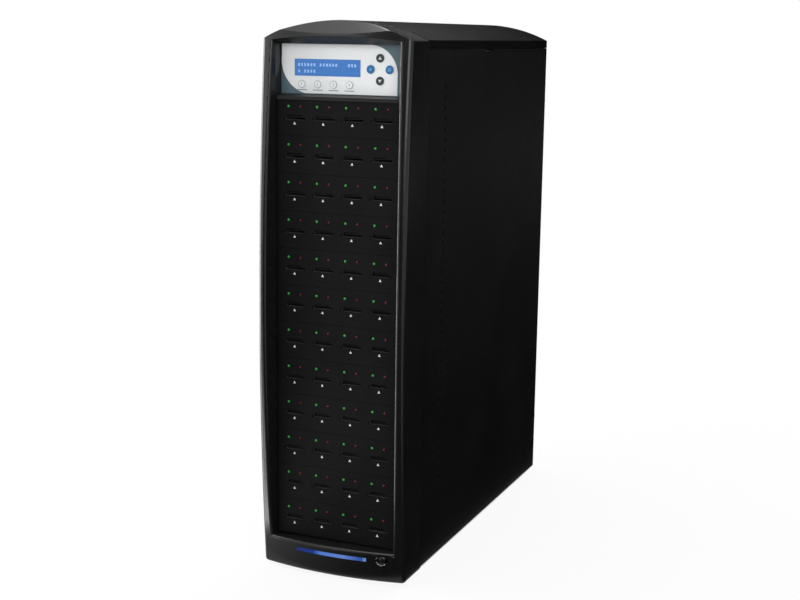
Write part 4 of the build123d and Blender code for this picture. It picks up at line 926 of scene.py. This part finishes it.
def digit_outlines(digit, x, z, unit, width):
    """Bars that draw a digit centred on x and z."""
    outlines = []
    for (x1, z1), (x2, z2) in digit_strokes[digit]:
        mid_x = x + ((x1 + x2) / 2 - DIGIT_MIDDLE_X) * unit
        mid_z = z + ((z1 + z2) / 2 - DIGIT_MIDDLE_Z) * unit
        length = math.hypot(x2 - x1, z2 - z1) * unit + width
        turned = math.degrees(math.atan2(z2 - z1, x2 - x1))
        outlines.append(bar_outline(mid_x, mid_z, length, width, turned))
    return outlines


print(len(digit_strokes), "digits can be drawn")

# %% [markdown]
# The up and down keys carry a small white arrow, and the two blue keys a plain cross and a plain
# ring. Each mark rides on its own key, so it goes in with it.

# %% Key marks
KEY_PRINT_THICKNESS = 0.00006


def key_centre(name):
    """The middle of a key as x and z."""
    low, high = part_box(name)
    return (low.x + high.x) / 2, (low.z + high.z) / 2


def key_mark(name, key, outlines, finish):
    """A printed mark on a key's face that rides on the key."""
    face_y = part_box(key)[0].y
    piece = front_prisms(name, outlines, face_y - KEY_PRINT_THICKNESS, KEY_PRINT_THICKNESS)
    finish_piece(piece, finish, key)


ARROW_HALF, ARROW_BACK, ARROW_TIP = 0.0021, 0.0014, 0.0021
CROSS_LENGTH, CROSS_WIDTH = 0.0036, 0.0006
RING_OUTER, RING_INNER = 0.0018, 0.0012
for name, way in (("up_key", 1), ("down_key", -1)):
    x, z = key_centre(name)
    base_z, tip_z = z - ARROW_BACK * way, z + ARROW_TIP * way
    arrow = [(x - ARROW_HALF, base_z), (x + ARROW_HALF, base_z), (x, tip_z)]
    key_mark(f"{name}_arrow", name, [arrow], "print_white")
x, z = key_centre("left_key")
cross = [bar_outline(x, z, CROSS_LENGTH, CROSS_WIDTH, turned) for turned in (45, -45)]
key_mark("left_key_cross", "left_key", cross, "print_blue")
x, z = key_centre("right_key")
ring = ring_outlines(x, z, RING_OUTER, RING_INNER)
key_mark("right_key_ring", "right_key", ring, "print_blue")
print("marks on the four direction keys")

# %% [markdown]
# The four white keys have a thin grey circle near their edge with a number in it, and a short grey
# bar is printed on the film below each, where a caption would stand.

# %% Function key marks
CIRCLE_OUTER, CIRCLE_INNER = 0.0041, 0.0037
DIGIT_UNIT, DIGIT_WIDTH = 0.0008, 0.0004
CAPTION_DROP, CAPTION_LENGTH, CAPTION_HEIGHT = 0.0064, 0.0118, 0.0009
film_face_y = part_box("control_overlay")[0].y
captions = []
for number, name in enumerate(function_keys, 1):
    x, z = key_centre(name)
    circle = ring_outlines(x, z, CIRCLE_OUTER, CIRCLE_INNER)
    key_mark(f"{name}_circle", name, circle, "print_grey")
    digit = digit_outlines(str(number), x, z, DIGIT_UNIT, DIGIT_WIDTH)
    key_mark(f"{name}_number", name, digit, "print_grey")
    captions.append(bar_outline(x, z - CAPTION_DROP, CAPTION_LENGTH, CAPTION_HEIGHT, 0))
print_y = film_face_y - PRINT_THICKNESS
caption_bars = front_prisms("caption_bars", captions, print_y, PRINT_THICKNESS)
finish_piece(caption_bars, "print_grey", "tower")
print("marks on", len(function_keys), "function keys")

# %% [markdown]
# ## The display's characters
# A display of this kind has two rows of character cells. Plain patterns of lit dots, four across
# and five down, stand in for characters: three groups in the upper row and two in the lower one.
# They say nothing.

# %% Display marks
window_low, window_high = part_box("display_window")
CELL_PITCH, CELL_INSET = 0.0038, 0.0042
DOT_PITCH_X, DOT_PITCH_Z = 0.00056, 0.00066
DOT_WIDTH, DOT_HEIGHT = 0.00042, 0.0005
DOTS_ACROSS, DOTS_DOWN = 4, 5
UPPER_ROW_DROP, LOWER_ROW_DROP = 0.0052, 0.0122
UPPER_COLUMNS = (0, 1, 2, 3, 4, 5, 7, 8, 9, 10, 11, 12, 16, 17, 18)
LOWER_COLUMNS = (0, 2, 3, 4, 5)


def character(column, top, skip):
    """The lit dots of one cell; skip tells which dots stay dark."""
    left = window_low.x + CELL_INSET + column * CELL_PITCH
    dots = []
    for across in range(DOTS_ACROSS):
        for down in range(DOTS_DOWN):
            if skip(across, down, column):
                continue
            x, z = left + across * DOT_PITCH_X, top - down * DOT_PITCH_Z
            dots.append([
                (x, z), (x + DOT_WIDTH, z), (x + DOT_WIDTH, z + DOT_HEIGHT), (x, z + DOT_HEIGHT),
            ])
    return dots


def upper_skip(across, down, column):
    """Every fourth dot of a slanting count, shifted from cell to cell."""
    return (across * 3 + down * 5 + column) % 4 == 0


def lower_skip(across, down, column):
    """Every third dot of a slanting count, shifted from cell to cell."""
    return (across + down * 2 + column) % 3 == 0


lit = []
for column in UPPER_COLUMNS:
    lit += character(column, window_high.z - UPPER_ROW_DROP, upper_skip)
for column in LOWER_COLUMNS:
    lit += character(column, window_high.z - LOWER_ROW_DROP, lower_skip)
display_marks = front_prisms("display_marks", lit, window_low.y - PRINT_THICKNESS, PRINT_THICKNESS)
finish_piece(display_marks, "display_white", "tower")
print(len(lit), "lit dots")
